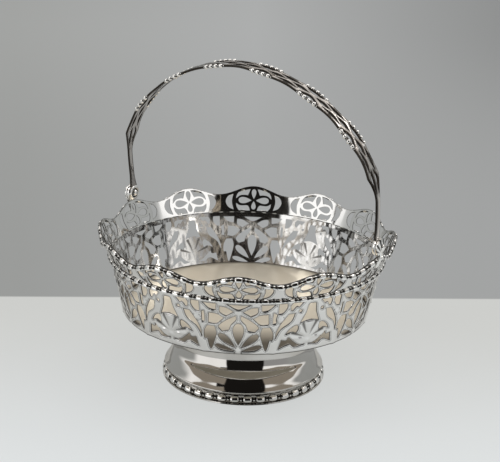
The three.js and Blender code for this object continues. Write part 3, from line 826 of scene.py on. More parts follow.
def bend_sheet(filled, place, half, relief, open_sides=(), crown=CROWN, grime=GRIME):
    """Both faces of a sheet and its cut edges. No edge is closed along the lines u = open_sides.

    `crown` is how far in from a cut the outer face is rounded, and how deep it drops there.
    `grime` is how wide the dirt is on the outer face, and how thick on the inner edge.
    """
    flat, faces, depth = filled
    reach, drop = crown
    width, behind = grime
    count = len(flat)
    points, recess = [], []
    for p, d in zip(flat, depth):
        rise = math.sin(math.pi / 2 * min(d / reach, 1))
        points.append(place(p.x, p.y, half - drop * (1 - rise) + relief(p.x, p.y) * min(1, d / RELIEF_ROOM)))
        recess.append(max(0.0, 1 - d / width))
    for p, d in zip(flat, depth):
        points.append(place(p.x, p.y, -half))
        recess.append(behind * max(0.0, 1 - d / BACK_GRIME))
    sides = dict.fromkeys(side for a, b, c in faces for side in ((a, b), (b, c), (c, a)))
    skins = list(faces) + [(count + a, count + c, count + b) for a, b, c in faces]
    for a, b in sides:
        on_seam = any(abs(flat[a].x - u) < 1e-3 and abs(flat[b].x - u) < 1e-3 for u in open_sides)
        if (b, a) not in sides and not on_seam:
            skins.append((b, a, count + a, count + b))
    return points, skins, recess, [min(d, FARTHEST) for d in depth] + [0.0] * count


print("the outer face drops by", CROWN[1], "mm at a cut")

# %% [markdown]
# ## Geometry Nodes for what repeats
# Two bays of the wall are drawn, and six copies go once round. A modifier with a node tree does
# this without any loop over meshes, and its sizes stay named inputs. A small class builds trees
# in the script, in the same spirit as the one for materials.

# %% Build a tree, run it, keep a plain mesh


class Tree:
    """A geometry node tree with named inputs."""

    def __init__(self, name):
        self.group = bpy.data.node_groups.new(name, "GeometryNodeTree")
        self.group.interface.new_socket("Geometry", in_out="INPUT", socket_type="NodeSocketGeometry")
        self.group.interface.new_socket("Geometry", in_out="OUTPUT", socket_type="NodeSocketGeometry")
        self.start = self.group.nodes.new("NodeGroupInput")
        self.end = self.group.nodes.new("NodeGroupOutput")

    def size(self, name, kind="NodeSocketFloat"):
        """Declare a named input and return its socket."""
        self.group.interface.new_socket(name, in_out="INPUT", socket_type=kind)
        return self.start.outputs[name]

    def add(self, kind, settings=None, values=None):
        """Add a node and return its first output."""
        node = self.group.nodes.new(kind)
        for name, setting in (settings or {}).items():
            setattr(node, name, setting)
        for key, value in (values or {}).items():
            for one in value if isinstance(value, list) else [value]:
                if isinstance(one, bpy.types.NodeSocket):
                    self.group.links.new(one, node.inputs[key])
                else:
                    node.inputs[key].default_value = one
        return next(socket for socket in node.outputs if socket.enabled)

    def maths(self, operation, first, second=0.0):
        return self.add("ShaderNodeMath", {"operation": operation}, {0: first, 1: second})

    def vector(self, operation, first, second=(0, 0, 0)):
        return self.add("ShaderNodeVectorMath", {"operation": operation}, {0: first, 1: second})

    def xyz(self, **parts):
        return self.add("ShaderNodeCombineXYZ", {}, parts)

    def close(self, geometry, finish):
        real = self.add("GeometryNodeRealizeInstances", {}, {"Geometry": geometry})
        dressed = self.add("GeometryNodeSetMaterial", {}, {"Geometry": real, "Material": finish})
        self.group.links.new(dressed, self.end.inputs[0])


def grow(piece, tree, **sizes):
    """Run a tree on a piece with these sizes, and keep the result as its plain mesh."""
    modifier = piece.modifiers.new(tree.group.name, "NODES")
    modifier.node_group = tree.group
    for item in tree.group.interface.items_tree:
        if item.in_out == "INPUT" and item.name in sizes:
            modifier[item.identifier] = sizes[item.name]
    bpy.context.view_layer.update()
    shaped = piece.evaluated_get(bpy.context.evaluated_depsgraph_get())
    mesh = bpy.data.meshes.new_from_object(shaped)
    piece.modifiers.clear()
    mesh.name = piece.name
    piece.data = mesh
    return piece


print("helpers: Tree, grow")

# %% [markdown]
# ## A ring of copies
# Each copy is turned about the Z axis by its share of a full turn. Neighbours meet exactly, so
# merging by a tiny distance makes one whole ring, and the shading runs on over each seam.

# %% A tree that sets copies in a ring
SEAM_WELD = 0.004 * MM


def ring_of_copies(name, finish):
    """Copies of a section, turned evenly about Z, and joined where they meet."""
    tree = Tree(name)
    copies = tree.size("Copies", "NodeSocketInt")
    seeds = tree.add("GeometryNodePoints", {}, {"Count": copies})
    share = tree.maths("DIVIDE", tree.add("GeometryNodeInputIndex"), copies)
    angles = tree.xyz(Z=tree.maths("MULTIPLY", share, 2 * math.pi))
    placed = tree.add("GeometryNodeInstanceOnPoints", {}, {
        "Points": seeds, "Instance": tree.start.outputs["Geometry"], "Rotation": angles,
    })
    real = tree.add("GeometryNodeRealizeInstances", {}, {"Geometry": placed})
    tree.close(tree.add("GeometryNodeMergeByDistance", {}, {"Geometry": real, "Distance": SEAM_WELD}), finish)
    return tree


wall_ring = ring_of_copies("wall_bays_round", sheet_silver)
print("inputs:", [item.name for item in wall_ring.group.interface.items_tree])

# %% [markdown]
# ## Chasing on the wall
# After piercing, the pattern was worked up: round buttons with a groove about them, flutes that
# fan over the shell, and a leaf that swells at the foot of each seam between two bays. Each is a
# rule of the place in the flat, with x as the distance from the middle of a bay. The same rules
# say where dirt stays.

# %% Relief and hollows of two bays
VOLUTE, ARCH_FOOT, PALMETTE_ROOT, SCROLL = (13.6, 17.6), (0, 5.6), (0, 1.6), (11.2, 21.6)
VOLUTE_RADIUS, ROOT_RADIUS = 1.5, 1.4
GROOVE_WIDTH, GROOVE_DEPTH = 0.35, 0.35
FAN_ROOT, FAN_REACH, FAN_FLUTES, FLUTE_DEPTH = 7.0, 8.6, 8, 0.34
LEAF_HEIGHT, LEAF_WIDTH, LEAF_RISE = 8, 2.4, 0.35
BUTTON_DIRT, FLUTE_DIRT = 0.8, 0.75


def groove(x, v, middle, radius):
    """How deep a point lies in the groove round a button, from 0 to 1."""
    away = math.hypot(x - middle[0], v - middle[1])
    return max(0.0, 1 - abs(away - radius - GROOVE_WIDTH) / GROOVE_WIDTH)


def boss(x, v, middle, radius, height):
    """A round button with a groove about it."""
    away = math.hypot(x - middle[0], v - middle[1])
    if away < radius:
        return height * (1 - (away / radius) ** 2)
    return -GROOVE_DEPTH * height * groove(x, v, middle, radius)


def shell_wave(x, v):
    """Ridges (1) and flutes (-1) of the shell, and the distance from its root."""
    away = math.hypot(x, v - FAN_ROOT)
    if v > FAN_ROOT and away < FAN_REACH:
        return math.cos(math.atan2(x, v - FAN_ROOT) * FAN_FLUTES), away
    return 0.0, away


def wall_relief(u, v):
    """How far the chased ornament stands above the sheet."""
    x = abs(abs(u) - BAY_WIDTH / 2)
    if u < 0:
        rise = boss(x, v, PALMETTE_ROOT, ROOT_RADIUS, 0.4) + boss(x, v, SCROLL, 1.0, 0.35)
    else:
        wave, away = shell_wave(x, v)
        rise = boss(x, v, VOLUTE, VOLUTE_RADIUS, 0.5) + FLUTE_DEPTH * wave * min(1.0, away / 4)
        rise += boss(x, v, ARCH_FOOT, 1.5, 0.4)
    if v < LEAF_HEIGHT:
        rise += LEAF_RISE * max(0.0, 1 - (BAY_WIDTH / 2 - x) / LEAF_WIDTH) * (1 - v / LEAF_HEIGHT)
    return rise


def wall_hollows(u, v):
    """Dirt in the flutes of the shell and about the buttons, from 0 to 1."""
    x = abs(abs(u) - BAY_WIDTH / 2)
    if u < 0:
        return BUTTON_DIRT * groove(x, v, PALMETTE_ROOT, ROOT_RADIUS)
    wave, away = shell_wave(x, v)
    flute = FLUTE_DIRT * min(1.0, away / 3) * max(0.0, -wave) ** 1.5
    return max(flute, BUTTON_DIRT * groove(x, v, VOLUTE, VOLUTE_RADIUS))


print("the shell's middle ridge stands", round(wall_relief(BAY_WIDTH / 2, 13), 2), "mm high")

# %% [markdown]
# ## The pierced wall
# Twelve bays stand round the bowl, and two patterns take turns: a palmette of five petals, and a
# pointed arch with a bell-shaped light over a shell. The unit that repeats is one of each. It is
# filled in the flat, bent on the cone of the wall, and copied six times. The cuts are drawn in a
# little, and the joint along the foot of the wall is dark.

# %% Fill and bend two bays
WALL_FOOT = 34.3
WALL_HEIGHT = 27.1
WALL_FOOT_RADIUS = 58.3
WALL_TOP_RADIUS = 64.2
BAY_ANGLE = 30
HALF_SHEET = 0.4
WALL_SPACING, BURNISHED, PLAY = 0.62, 0.15, 0.15
DARK_FOOT = 0.9
SHEET_SHARP = 50


def wall_place(u, v, outward):
    share = v / WALL_FIELD
    angle = math.radians((u / BAY_WIDTH + 0.5) * BAY_ANGLE)
    slope = math.atan2(WALL_TOP_RADIUS - WALL_FOOT_RADIUS, WALL_HEIGHT)
    radius = WALL_FOOT_RADIUS + (WALL_TOP_RADIUS - WALL_FOOT_RADIUS) * share + outward * math.cos(slope)
    height = WALL_FOOT + WALL_HEIGHT * share - outward * math.sin(slope)
    return radius * math.cos(angle), radius * math.sin(angle), height


def make_wall():
    side, top = BAY_WIDTH, WALL_FIELD - PLAY
    outline = [Vector(p) for p in ((-side, 0), (side, 0), (side, top), (-side, top))]
    filled = fill_sheet(outline, [tightened(cut, BURNISHED) for cut in two_bays()], WALL_SPACING)
    points, skins, recess, from_cut = bend_sheet(filled, wall_place, HALF_SHEET, wall_relief, (-side, side))
    recess = [max(mark, 1 - p.y / DARK_FOOT, wall_hollows(p.x, p.y))
              for mark, p in zip(recess, filled[0] + filled[0])]
    wall = make_piece("pierced_wall", points, skins, sheet_silver, recess, SHEET_SHARP, from_cut=from_cut)
    grow(wall, wall_ring, Copies=6)
    hang(wall, "basket", "silver", *[f"wall_panel_{i:02d}" for i in range(1, 13)])


make_wall()

# %% [markdown]
# ## The flared border
# Above the belt the sheet flares out into twelve lobes. Each lobe is pierced with a quatrefoil in
# an oval and with two crescents. It was raised over a stake, so it is flatter than the circle it
# stands on, and a soft crease marks the place where two lobes meet: that is why one lobe at the
# back can be wholly dark while its neighbours are wholly bright.

# %% Fill and bend one lobe
BELT_HEIGHT = 61.4
BORDER_HEIGHT = 12.6
LOBE_RADIUS = 69.6
LOBE_RISE = 4.0
LOBE_WIDTH = 33.6
LOBE_CREASE = 0.6
HALF_LOBE = BAY_ANGLE / 2
LOBE_SPACING, LOBE_GRIME = 0.6, (0.5, 0.7)
CLOSING_POINTS = 60


def edge_rise(angle):
    """Height of the lobed edge above the belt, at so many degrees from a lobe's middle."""
    return BORDER_HEIGHT - LOBE_RISE / 2 * (1 - math.cos(math.radians(360 / BAY_ANGLE * angle)))


def border_point(angle, rise, outward):
    slope = math.atan2(LOBE_RADIUS - WALL_TOP_RADIUS, BORDER_HEIGHT)
    share = rise / BORDER_HEIGHT
    from_middle = (angle + HALF_LOBE) % BAY_ANGLE - HALF_LOBE
    crease = LOBE_CREASE * (from_middle / HALF_LOBE) ** 2 * share
    radius = WALL_TOP_RADIUS + (LOBE_RADIUS - WALL_TOP_RADIUS) * share + crease + outward * math.cos(slope)
    height = BELT_HEIGHT + rise - outward * math.sin(slope)
    turn = math.radians(angle)
    return radius * math.cos(turn), radius * math.sin(turn), height


def lobe_place(u, v, outward):
    angle = min(max(u / LOBE_WIDTH * BAY_ANGLE, -HALF_LOBE + 1e-7), HALF_LOBE - 1e-7)
    return border_point(angle, v, outward)


def lobe_cuts():
    cuts = [petal((0, 6.4), 0, 4.7, 2.3), petal((0, 5.3), 180, 4.0, 2.3)]
    cuts += both(petal((1.1, 5.7), 90, 6.6, 3.1))
    cuts += both(opening([(1.6, 11.4), (4.6, 11.1), (7.1, 10.0), (8.5, 8.3), (9.0, 6.5), (6.9, 8.0),
                          (4.6, 8.3), (3.0, 8.1)], (0, 4, 7)))
    cuts += both(opening([(1.8, 0.7), (2.4, 2.4), (3.2, 3.3), (6.9, 3.2), (9.0, 4.3), (8.7, 2.4), (7.5, 0.7)],
                         (0, 2, 4, 6)))
    cuts += both(opening([(10.3, 8.7), (11.1, 5.0), (10.3, 1.1), (13.0, 2.4), (14.3, 5.1), (12.9, 7.7)],
                         (0, 2)))
    return cuts


def lobe_relief(u, v):
    return boss(u, v, (0, 5.85), 0.9, 0.25)


def make_border():
    half = LOBE_WIDTH / 2
    foot_edge = [Vector((-half + LOBE_WIDTH * i / 24, PLAY)) for i in range(25)]
    top_edge = [Vector((u, edge_rise(u / LOBE_WIDTH * BAY_ANGLE)))
                for u in (half - LOBE_WIDTH * i / 48 for i in range(49))]
    # Resampling also closes the line; most points of that closing stretch are left out.
    rounded = resampled(top_edge, CUT_SPACING)[:-CLOSING_POINTS]
    filled = fill_sheet(foot_edge + top_edge, lobe_cuts(), LOBE_SPACING, rounded)
    points, skins, recess, from_cut = bend_sheet(filled, lobe_place, HALF_SHEET, lobe_relief, (-half, half),
                                                 grime=LOBE_GRIME)
    border = make_piece("lobed_border", points, skins, sheet_silver, recess, SHEET_SHARP, from_cut=from_cut)
    grow(border, wall_ring, Copies=12)
    hang(border, "basket", "bright_silver", *[f"border_panel_{i:02d}" for i in range(1, 13)])


make_border()

# %% [markdown]
# ## Bead-and-reel wires
# The joins are covered with ornamental wire: long beads with a small reel between each two. On
# the real basket such wire was rolled by the yard and bent into place. Here a line carries one
# point for each bead and each reel, and a tree puts a small ball, stretched along the line, on
# every point. The balls are low in faces because there are hundreds of them, and each stores
# how far it is from its own waist, so that dirt can gather where two of them meet.

# %% A tree that strings beads on a line
BALL = {"Segments": 12, "Rings": 9, "Radius": 0.5}
BEAD_SIZES = ("Bead length", "Bead thickness", "Reel length", "Reel thickness", "Core radius",
              "Flatness", "Facing up")


def mark_recess(tree, geometry, value):
    return tree.add("GeometryNodeStoreNamedAttribute", {"data_type": "FLOAT", "domain": "POINT"}, {
        "Geometry": geometry, "Name": "recess", "Value": value,
    })


def barrel(tree, length, thick, flat):
    """A ball drawn out to a barrel of this size, with dirt toward both its ends."""
    height = tree.group.nodes.new("ShaderNodeSeparateXYZ")
    tree.group.links.new(tree.add("GeometryNodeInputPosition"), height.inputs[0])
    away = tree.maths("ABSOLUTE", tree.maths("MULTIPLY", height.outputs[2], 2))
    marked = mark_recess(tree, tree.add("GeometryNodeMeshUVSphere", {}, BALL), tree.maths("POWER", away, 5))
    fuller = tree.maths("SQRT", tree.maths("ADD", tree.maths("POWER", away, 2), 1))
    wider = tree.xyz(X=fuller, Y=fuller, Z=1.0)
    place = tree.vector("MULTIPLY", tree.add("GeometryNodeInputPosition"), wider)
    shaped = tree.add("GeometryNodeSetPosition", {}, {"Geometry": marked, "Position": place})
    size = tree.xyz(X=tree.maths("MULTIPLY", thick, flat), Y=thick, Z=length)
    return tree.add("GeometryNodeTransform", {}, {"Geometry": shaped, "Scale": size})


def bead_string(name, finish):
    tree = Tree(name)
    sizes = [tree.size(label) for label in BEAD_SIZES]
    long_bead, bead_thick, reel_long, reel_thick, core, flat, upward = sizes
    line = tree.add("GeometryNodeMeshToCurve", {}, {"Mesh": tree.start.outputs["Geometry"]})
    tangent = tree.add("GeometryNodeInputTangent")
    along = tree.add("FunctionNodeAlignRotationToVector", {"axis": "Z"}, {"Vector": tangent})
    level = tree.vector("MULTIPLY", tree.add("GeometryNodeInputPosition"), (1, 1, 0))
    facing = tree.vector("ADD", tree.vector("NORMALIZE", level), tree.xyz(Z=upward))
    along = tree.add("FunctionNodeAlignRotationToVector", {"axis": "X", "pivot_axis": "Z"}, {
        "Rotation": along, "Vector": facing,
    })
    odd = tree.maths("MODULO", tree.add("GeometryNodeInputIndex"), 2)
    even = tree.maths("SUBTRACT", 1, odd)
    strung = []
    for chosen, length, thick in ((even, long_bead, bead_thick), (odd, reel_long, reel_thick)):
        strung.append(tree.add("GeometryNodeInstanceOnPoints", {}, {
            "Points": line, "Selection": chosen, "Instance": barrel(tree, length, thick, flat),
            "Rotation": along,
        }))
    round_line = tree.add("GeometryNodeCurvePrimitiveCircle", {}, {"Resolution": 6, "Radius": core})
    wire = tree.add("GeometryNodeCurveToMesh", {}, {
        "Curve": line, "Profile Curve": round_line, "Fill Caps": True,
    })
    joined = tree.add("GeometryNodeJoinGeometry", {}, {"Geometry": strung + [mark_recess(tree, wire, 1.0)]})
    tree.close(tree.add("GeometryNodeSetShadeSmooth", {}, {"Geometry": joined}), finish)
    return tree


beads = bead_string("bead_and_reel", wire_silver)
print("inputs:", [item.name for item in beads.group.interface.items_tree])

# %% [markdown]
# ## Belt, rim and foot
# Three wires use that tree. The belt covers the join of the wall and the border, the rim follows
# the lobes in two halves that end at the hinges, and the heavier foot wire stands on the base
# ring. On the rim the sizes change places, so each half begins and ends with a short bead.

# %% Belt, rim and foot wires
BELT_RADIUS, BELT_POINTS, FOOT_POINTS = 65.35, 144, 80
FOOT_INSET = 1.1
WIRE_PITCH = 2.5
RIM_WIRE, RIM_LIFT, RIM_SUNK = 1.7, 0.1, 0.3


def string_beads(name, points, edges, bead, reel, core, flat, upward):
    """Beads and reels, each with its length and thickness, along the edges."""
    mesh = bpy.data.meshes.new(name)
    mesh.from_pydata([(x * MM, y * MM, z * MM) for x, y, z in points], edges, [])
    piece = bpy.data.objects.new(name, mesh)
    bpy.context.scene.collection.objects.link(piece)
    sizes = [value * MM for value in (*bead, *reel, core)] + [flat, upward]
    return grow(piece, beads, **dict(zip(BEAD_SIZES, sizes)))


def string_ring(name, radius, height, count, *sizes):
    turns = [2 * math.pi * i / count for i in range(count)]
    points = [(radius * math.cos(t), radius * math.sin(t), height) for t in turns]
    return string_beads(name, points, [(i, (i + 1) % count) for i in range(count)], *sizes)


belt = string_ring("belt_beads", BELT_RADIUS, BELT_HEIGHT, BELT_POINTS,
                   (3.6, 2.2), (1.2, 1.4), 0.5, 0.45, 0.42)
hang(belt, "basket", "silver", "belt_wire")

for side, start in (("back", 0), ("front", 180)):
    places = []
    for i in range(1, 72):
        angle = start + i * WIRE_PITCH
        rise = edge_rise(angle) - RIM_WIRE / 2 + RIM_LIFT
        places.append(border_point(angle, rise, HALF_SHEET - RIM_SUNK + RIM_WIRE / 2))
    edges = [(i, i + 1) for i in range(len(places) - 1)]
    rim = string_beads(f"rim_beads_{side}", places, edges, (1.2, 1.5), (3.6, 2.35), 0.5, 0.45, 0.42)
    hang(rim, "basket", "silver", f"rim_wire_{side}")

foot_beads = string_ring("foot_beads", FOOT_RADIUS - FOOT_INSET, RING_TOP + WIRE_SEAM + FOOT_WIRE / 2,
                         FOOT_POINTS, (4.5, 3.2), (1.2, 2.2), 0.8, 0.55, 0.7)
hang(foot_beads, "basket", "silver", "foot_wire")

# %% [markdown]
# ## Eyes and rivets
# Each end of the handle is a round eye with a raised ring. It turns on a rivet that goes through
# it and through a lug on the basket. Both are profiles turned about the hinge line, drawn for the
# right side. A half turn about Z makes the left one.

# %% Turn a round part about the hinge line
HINGE_HEIGHT = 78.4
EYE_RADIUS = 4.1
EYE_INNER, EYE_OUTER = 67.0, 69.0
LUG_INNER, LUG_OUTER = 69.3, 71.1
TO_HINGE = Matrix.Translation((0, 0, HINGE_HEIGHT * MM)) @ Matrix.Rotation(math.pi / 2, 4, "Y")
HALF_TURN = Matrix.Rotation(math.pi, 4, "Z")
LEAN = math.radians(6.5)
TO_LEAN = (Matrix.Translation((0, 0, HINGE_HEIGHT * MM)) @ Matrix.Rotation(LEAN, 4, "X")
           @ Matrix.Translation((0, 0, -HINGE_HEIGHT * MM)))


def place_side(piece, side, lean=False):
    """Move a right-hand part's mesh to its side, and lean it with the handle."""
    if side == "left":
        piece.data.transform(HALF_TURN)
    if lean:
        piece.data.transform(TO_LEAN)
    return piece


for side in ("right", "left"):
    eye = turned(f"handle_eye_{side}_ring", [
        (1.25, EYE_OUTER), (3.95, EYE_OUTER), (4.1, EYE_OUTER - 0.15), (4.1, EYE_OUTER - 0.9),
        (3.85, EYE_OUTER - 1.35), (3.4, EYE_OUTER - 1.75), (3.0, EYE_INNER + 0.08), (2.7, EYE_INNER),
        (2.4, EYE_INNER + 0.08), (2.15, EYE_INNER + 0.4), (1.9, EYE_INNER + 0.5), (1.25, EYE_INNER + 0.45),
    ][::-1], wire_silver, 40, [0, 1, 1, 0.6, 0, 0, 0, 0, 0, 0, 0, 0.5])
    eye.data.transform(TO_HINGE)
    hang(place_side(eye, side, lean=True), "handle", "silver", f"handle_eye_{side}")

    rivet = turned(f"hinge_rivet_{side}_pin", [
        (0, 66.05), (0.6, 66.12), (1.15, 66.35), (1.45, 66.7), (1.0, 66.72), (1.0, 71.38), (1.4, 71.4),
        (1.15, 71.75), (0.6, 71.92), (0, 71.97),
    ], wire_silver, 28)
    rivet.data.transform(TO_HINGE)
    hang(place_side(rivet, side), "basket", "silver", f"hinge_rivet_{side}")

# %% [markdown]
# ## The shell lug
# The rivet is held by a lug shaped like a small shell. It is a round plate whose height is a rule
# of the distance and the direction from its root. Rings of points run from the bore over the
# face, round the scalloped edge, and over the rear back to the bore.

# %% Raise the shell
LUG_BORE = 1.1
SHELL_RINGS, SHELL_SIDES = 12, 72
FLUTES, SHELL_ROOT = 9, -3.1
SCALLOP_DEPTH, DOME_DROP, SHELL_FLUTE = 0.045, 0.75, 0.30
EDGE_THICK, EDGE_BEVEL = 0.25, 0.12


def shell_rim(turn):
    """Radius of the scalloped plate in a direction from its middle."""
    upper = max(0.0, math.sin(turn))
    scallop = 1 - abs(math.cos(FLUTES * (turn - math.pi / 2) / 1.6))
    return EYE_RADIUS * (1 - SCALLOP_DEPTH * upper * scallop)


def shell_height(y, z):
    """Height of the face at a place from the hinge line, and how deep in a flute it is."""
    dome = LUG_OUTER - DOME_DROP * (math.hypot(y, z) / EYE_RADIUS) ** 2.2
    fan = math.atan2(y, z - SHELL_ROOT)
    strength = min(1.0, math.hypot(y, z - SHELL_ROOT) / 3.5)
    ridge = 0.5 + 0.5 * math.cos(FLUTES * fan * 1.55)
    return dome - SHELL_FLUTE * (1 - ridge) * strength, (1 - ridge) * strength


def shell_plate():
    points, faces, marks = [], [], []
    turns = [2 * math.pi * i / SHELL_SIDES for i in range(SHELL_SIDES)]
    for k in range(SHELL_RINGS + 1):
        share = k / SHELL_RINGS
        for turn in turns:
            reach = LUG_BORE + (shell_rim(turn) - LUG_BORE) * share
            y, z = reach * math.cos(turn), reach * math.sin(turn)
            height, hollow = shell_height(y, z)
            points.append((height, y, z + HINGE_HEIGHT))
            marks.append(hollow * 0.9)
    edge = [shell_rim(turn) for turn in turns]
    bevel = [reach - EDGE_BEVEL for reach in edge]
    bore = [LUG_BORE] * SHELL_SIDES
    for x, ring in ((LUG_INNER + EDGE_THICK, edge), (LUG_INNER, bevel), (LUG_INNER, bore)):
        points += [(x, r * math.cos(t), r * math.sin(t) + HINGE_HEIGHT) for r, t in zip(ring, turns)]
        marks += [0.2] * SHELL_SIDES
    rows = SHELL_RINGS + 4
    for k in range(rows):
        here, ahead = k * SHELL_SIDES, (k + 1) % rows * SHELL_SIDES
        for i in range(SHELL_SIDES):
            beside = (i + 1) % SHELL_SIDES
            faces.append((here + i, ahead + i, ahead + beside, here + beside))
    return points, faces, marks


print("points of the shell:", len(shell_plate()[0]))

# %% [markdown]
# ## The tongue and its bead
# The shell is soldered to the outside of the border on a short tongue with a bead under it. A
# rounded section is carried along the tongue's path and tapers at its end. The bead is a ball
# drawn out sideways.

# %% Bend the tongue and set both lugs
TONGUE_PATH = [(70.55, 76.2), (70.72, 75.0), (70.78, 74.1), (70.45, 73.0), (69.55, 70.9), (68.75, 69.0),
               (68.45, 68.4)]
TONGUE_SIDES, HALF_TONGUE, TONGUE_RISE, TONGUE_TIP = 12, 1.5, 0.42, 0.55
BEAD_PLACE, BEAD_RADIUS, BEAD_WIDE = (70.75, 73.55), 0.95, 1.55
BEAD_ROWS, BEAD_SIDES = 8, 16


def add_tongue(points, faces, marks):
    """A strap from the plate down the outside of the border, with rounded edges."""
    turns = [2 * math.pi * i / TONGUE_SIDES for i in range(TONGUE_SIDES)]
    first, last = len(points), len(TONGUE_PATH) - 1
    for k, (x, z) in enumerate(TONGUE_PATH):
        before, after = TONGUE_PATH[max(k - 1, 0)], TONGUE_PATH[min(k + 1, last)]
        run = Vector((after[0] - before[0], after[1] - before[1])).normalized()
        taper = 1.0 if k < last else TONGUE_TIP
        for across, thick in [(math.cos(t), math.sin(t)) for t in turns]:
            aside = math.copysign(abs(across) ** 0.6, across) * HALF_TONGUE * taper
            lift = math.copysign(abs(thick) ** 0.8, thick) * TONGUE_RISE * taper
            points.append((x - run.y * lift, aside, z + run.x * lift))
            marks.append(0.15)
    for k in range(last):
        for i in range(TONGUE_SIDES):
            a, b = first + k * TONGUE_SIDES + i, first + k * TONGUE_SIDES + (i + 1) % TONGUE_SIDES
            faces.append((a, b, b + TONGUE_SIDES, a + TONGUE_SIDES))
    faces.append(tuple(first + i for i in reversed(range(TONGUE_SIDES))))
    faces.append(tuple(first + last * TONGUE_SIDES + i for i in range(TONGUE_SIDES)))


def add_bead(points, faces, marks):
    first = len(points)
    for k in range(BEAD_ROWS + 1):
        polar = math.pi * k / BEAD_ROWS
        for i in range(BEAD_SIDES):
            turn = 2 * math.pi * i / BEAD_SIDES
            points.append((BEAD_PLACE[0] + BEAD_RADIUS * math.sin(polar) * math.cos(turn),
                           BEAD_WIDE * BEAD_RADIUS * math.sin(polar) * math.sin(turn),
                           BEAD_PLACE[1] + BEAD_RADIUS * math.cos(polar)))
            marks.append(0.0)
    for k in range(BEAD_ROWS):
        for i in range(BEAD_SIDES):
            a, b = first + k * BEAD_SIDES + i, first + k * BEAD_SIDES + (i + 1) % BEAD_SIDES
            faces.append((a, a + BEAD_SIDES, b + BEAD_SIDES, b))


for side in ("right", "left"):
    shell = shell_plate()
    add_tongue(*shell)
    add_bead(*shell)
    points, faces, marks = shell
    lug = make_piece(f"hinge_shell_{side}", points, faces, wire_silver, marks, sharp=45, merge=0.002)
    hang(place_side(lug, side), "basket", "silver", f"hinge_lug_{side}")

# %% [markdown]
# ## The handle's arch
# The handle rises from its eyes, leans a little outward over the first part, and closes in an
# arch that no circle fits: a superellipse, whose exponent is just below 2. The line is sampled
# finely and its length added up, so that a distance along the arch can be turned into a place.
# Each leg begins a little inside its eye, so that the two join.

# %% The arch's middle line
HANDLE_REACH = 74.4
HANDLE_BELLY = 68.5
BELLY_HEIGHT = 20.4
HANDLE_EXPONENT = 1.85
LEG_SHARE = 0.12
HANDLE_THICK = 1.2
LEG_START = EYE_RADIUS - 0.6
EYE_MIDDLE = (EYE_INNER + EYE_OUTER) / 2


def arch_point(t):
    """The middle line, from the left eye (0) to the right eye (1)."""
    side = -1 if t < 0.5 else 1
    climb = min(t, 1 - t) / LEG_SHARE
    if climb < 1:
        spread = HANDLE_BELLY - (HANDLE_BELLY - EYE_MIDDLE) * (1 - climb) ** 2
        return Vector((side * spread, LEG_START + (BELLY_HEIGHT - LEG_START) * climb))
    turn = math.pi * (t - LEG_SHARE) / (1 - 2 * LEG_SHARE)
    power = 2 / HANDLE_EXPONENT
    across = abs(math.cos(turn)) ** power * HANDLE_BELLY
    return Vector((side * across, BELLY_HEIGHT + math.sin(turn) ** power * (HANDLE_REACH - BELLY_HEIGHT)))


ARCH_STEPS, RUN_STEPS = 2400, 6
arch_line = [arch_point(i / ARCH_STEPS) for i in range(ARCH_STEPS + 1)]
arch_length = [0.0]
for start, end in zip(arch_line, arch_line[1:]):
    arch_length.append(arch_length[-1] + (end - start).length)
HALF_LENGTH = arch_length[-1] / 2
print("length of the arch:", round(2 * HALF_LENGTH, 1), "mm")


def arch_place(u, v, outward):
    """A point at a distance u from the crown, v across and outward from the arch's middle."""
    along = min(max(u + HALF_LENGTH, 0.0), 2 * HALF_LENGTH - 1e-6)
    low, high = 0, ARCH_STEPS
    while high - low > 1:
        middle = (low + high) // 2
        low, high = (middle, high) if arch_length[middle] <= along else (low, middle)
    share = (along - arch_length[low]) / (arch_length[high] - arch_length[low])
    point = arch_line[low].lerp(arch_line[high], share)
    run = (arch_line[min(high + RUN_STEPS, ARCH_STEPS)] - arch_line[max(low - RUN_STEPS, 0)]).normalized()
    x, rise = point.x - run.y * outward, point.y + run.x * outward
    y = v * math.cos(LEAN) - rise * math.sin(LEAN)
    z = v * math.sin(LEAN) + rise * math.cos(LEAN)
    return x, y, z + HINGE_HEIGHT


# %% [markdown]
# ## The pierced strip
# The handle is a strip cut with two interlaced strands and bent into the arch. Its edges swell
# where a row of beads sits on them and narrow between, down to a plain stem that flares at the
# eye. It is filled in the flat like the wall, with the distance along the arch as one axis and
# the width as the other, and the bending rule lays each point on the arch.

# %% Draw and bend the strip
SWELL_PITCH = 25
SWELL, WAIST, STEM, STEM_FLARE = 5.0, 3.9, 1.3, 2.2
STRAND = 1.0
WAVE_END = SWELL_PITCH * 3.3
TAPER_END = WAVE_END + 11.5
TAPER_CURVE, FLARE_CURVE, FLARE_LENGTH = 1.7, 1.5, 6
HALF_LIGHT, HALF_LENS, LENS_RISE = 5.2, 4.2, 1.0
END_SLOT = [(79.6, 0.9), (83.5, 2.8), (90.0, 0.95), (84.5, 0.65)]
STRIP_STEPS, STRIP_SPACING = 300, 0.6
STRIP_CROWN, STRIP_GRIME = (0.7, 0.25), (0.85, 1.0)


def half_width(u):
    away = abs(u)
    swing = (SWELL - WAIST) / 2
    if away < TAPER_END:
        wave = (SWELL + WAIST) / 2 - swing * math.cos(2 * math.pi * min(away, WAVE_END) / SWELL_PITCH)
        if away > WAVE_END:
            share = (away - WAVE_END) / (TAPER_END - WAVE_END)
            wave += (STEM - wave) * (1 - (1 - share) ** TAPER_CURVE)
        return wave
    flare = max(0.0, 1 - (HALF_LENGTH - away) / FLARE_LENGTH)
    return STEM + (STEM_FLARE - STEM) * flare ** FLARE_CURVE


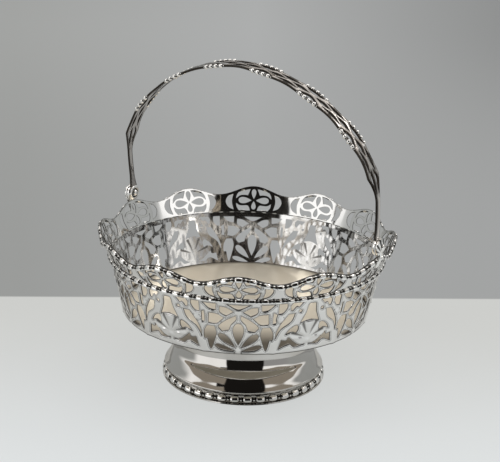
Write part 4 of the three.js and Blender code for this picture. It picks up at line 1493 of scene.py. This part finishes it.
def handle_cuts():
    """Side lights at each crossing, a lens between each two, and a slot on both edges at the ends."""
    cuts = []
    cell = SWELL_PITCH / 2
    for i in range(-6, 7):
        along = i * cell
        outer = (WAIST if i % 2 == 0 else SWELL) - STRAND
        for side in (1, -1):
            cuts.append(opening([(along - HALF_LIGHT, side * (outer - 0.5)), (along, side * (STRAND + 0.2)),
                                 (along + HALF_LIGHT, side * (outer - 0.5)), (along, side * (outer - 0.1))],
                                (0, 2)))
        if i < 6:
            middle = along + cell / 2
            cuts.append(opening([(middle - HALF_LENS, 0), (middle, LENS_RISE),
                                 (middle + HALF_LENS, 0), (middle, -LENS_RISE)], (0, 2)))
    for end in (1, -1):
        for side in (1, -1):
            cuts.append(opening([(end * along, side * across) for along, across in END_SLOT], (0, 2)))
    return cuts


def handle_relief(u, v):
    """The stems are rounded, the pierced part is flat."""
    if abs(u) > TAPER_END - 3:
        return 0.35 * max(0.0, 1 - abs(v) / half_width(u)) ** 0.8
    return 0.0


def make_handle():
    line = [Vector((-HALF_LENGTH + 2 * HALF_LENGTH * i / STRIP_STEPS, 0)) for i in range(STRIP_STEPS + 1)]
    outline = [Vector((p.x, -half_width(p.x))) for p in line]
    outline += [Vector((p.x, half_width(p.x))) for p in reversed(line)]
    filled = fill_sheet(outline, handle_cuts(), STRIP_SPACING, resampled(outline, CUT_SPACING))
    points, skins, recess, from_cut = bend_sheet(filled, arch_place, HANDLE_THICK / 2, handle_relief,
                                                 crown=STRIP_CROWN, grime=STRIP_GRIME)
    strip = make_piece("handle_strip", points, skins, handle_silver, recess, SHEET_SHARP, from_cut=from_cut)
    hang(strip, "handle", "silver", "handle_arch")


make_handle()

# %% [markdown]
# ## Beads on the handle
# A short row of beads sits on both edges of each swelling. The same tree strings them, on lines
# that run along the edges of the strip.

# %% String the edges of the swellings
EDGE_PITCH, ROW_POINTS = 1.35, 9
EDGE_INSET = 0.1

spots, edges = [], []
for swell in (-62.5, -37.5, -12.5, 12.5, 37.5, 62.5):
    for side in (1, -1):
        first = len(spots)
        for k in range(ROW_POINTS):
            along = swell + (k - ROW_POINTS // 2) * EDGE_PITCH
            spots.append(arch_place(along, side * (half_width(along) - EDGE_INSET), 0.0))
        edges += [(first + k, first + k + 1) for k in range(ROW_POINTS - 1)]
edge_beads = string_beads("handle_beads", spots, edges, (1.75, 1.9), (0.6, 0.7), 0.35, 1.0, 0.0)
hang(edge_beads, "handle", "silver")

# %% [markdown]
# ## The finished object
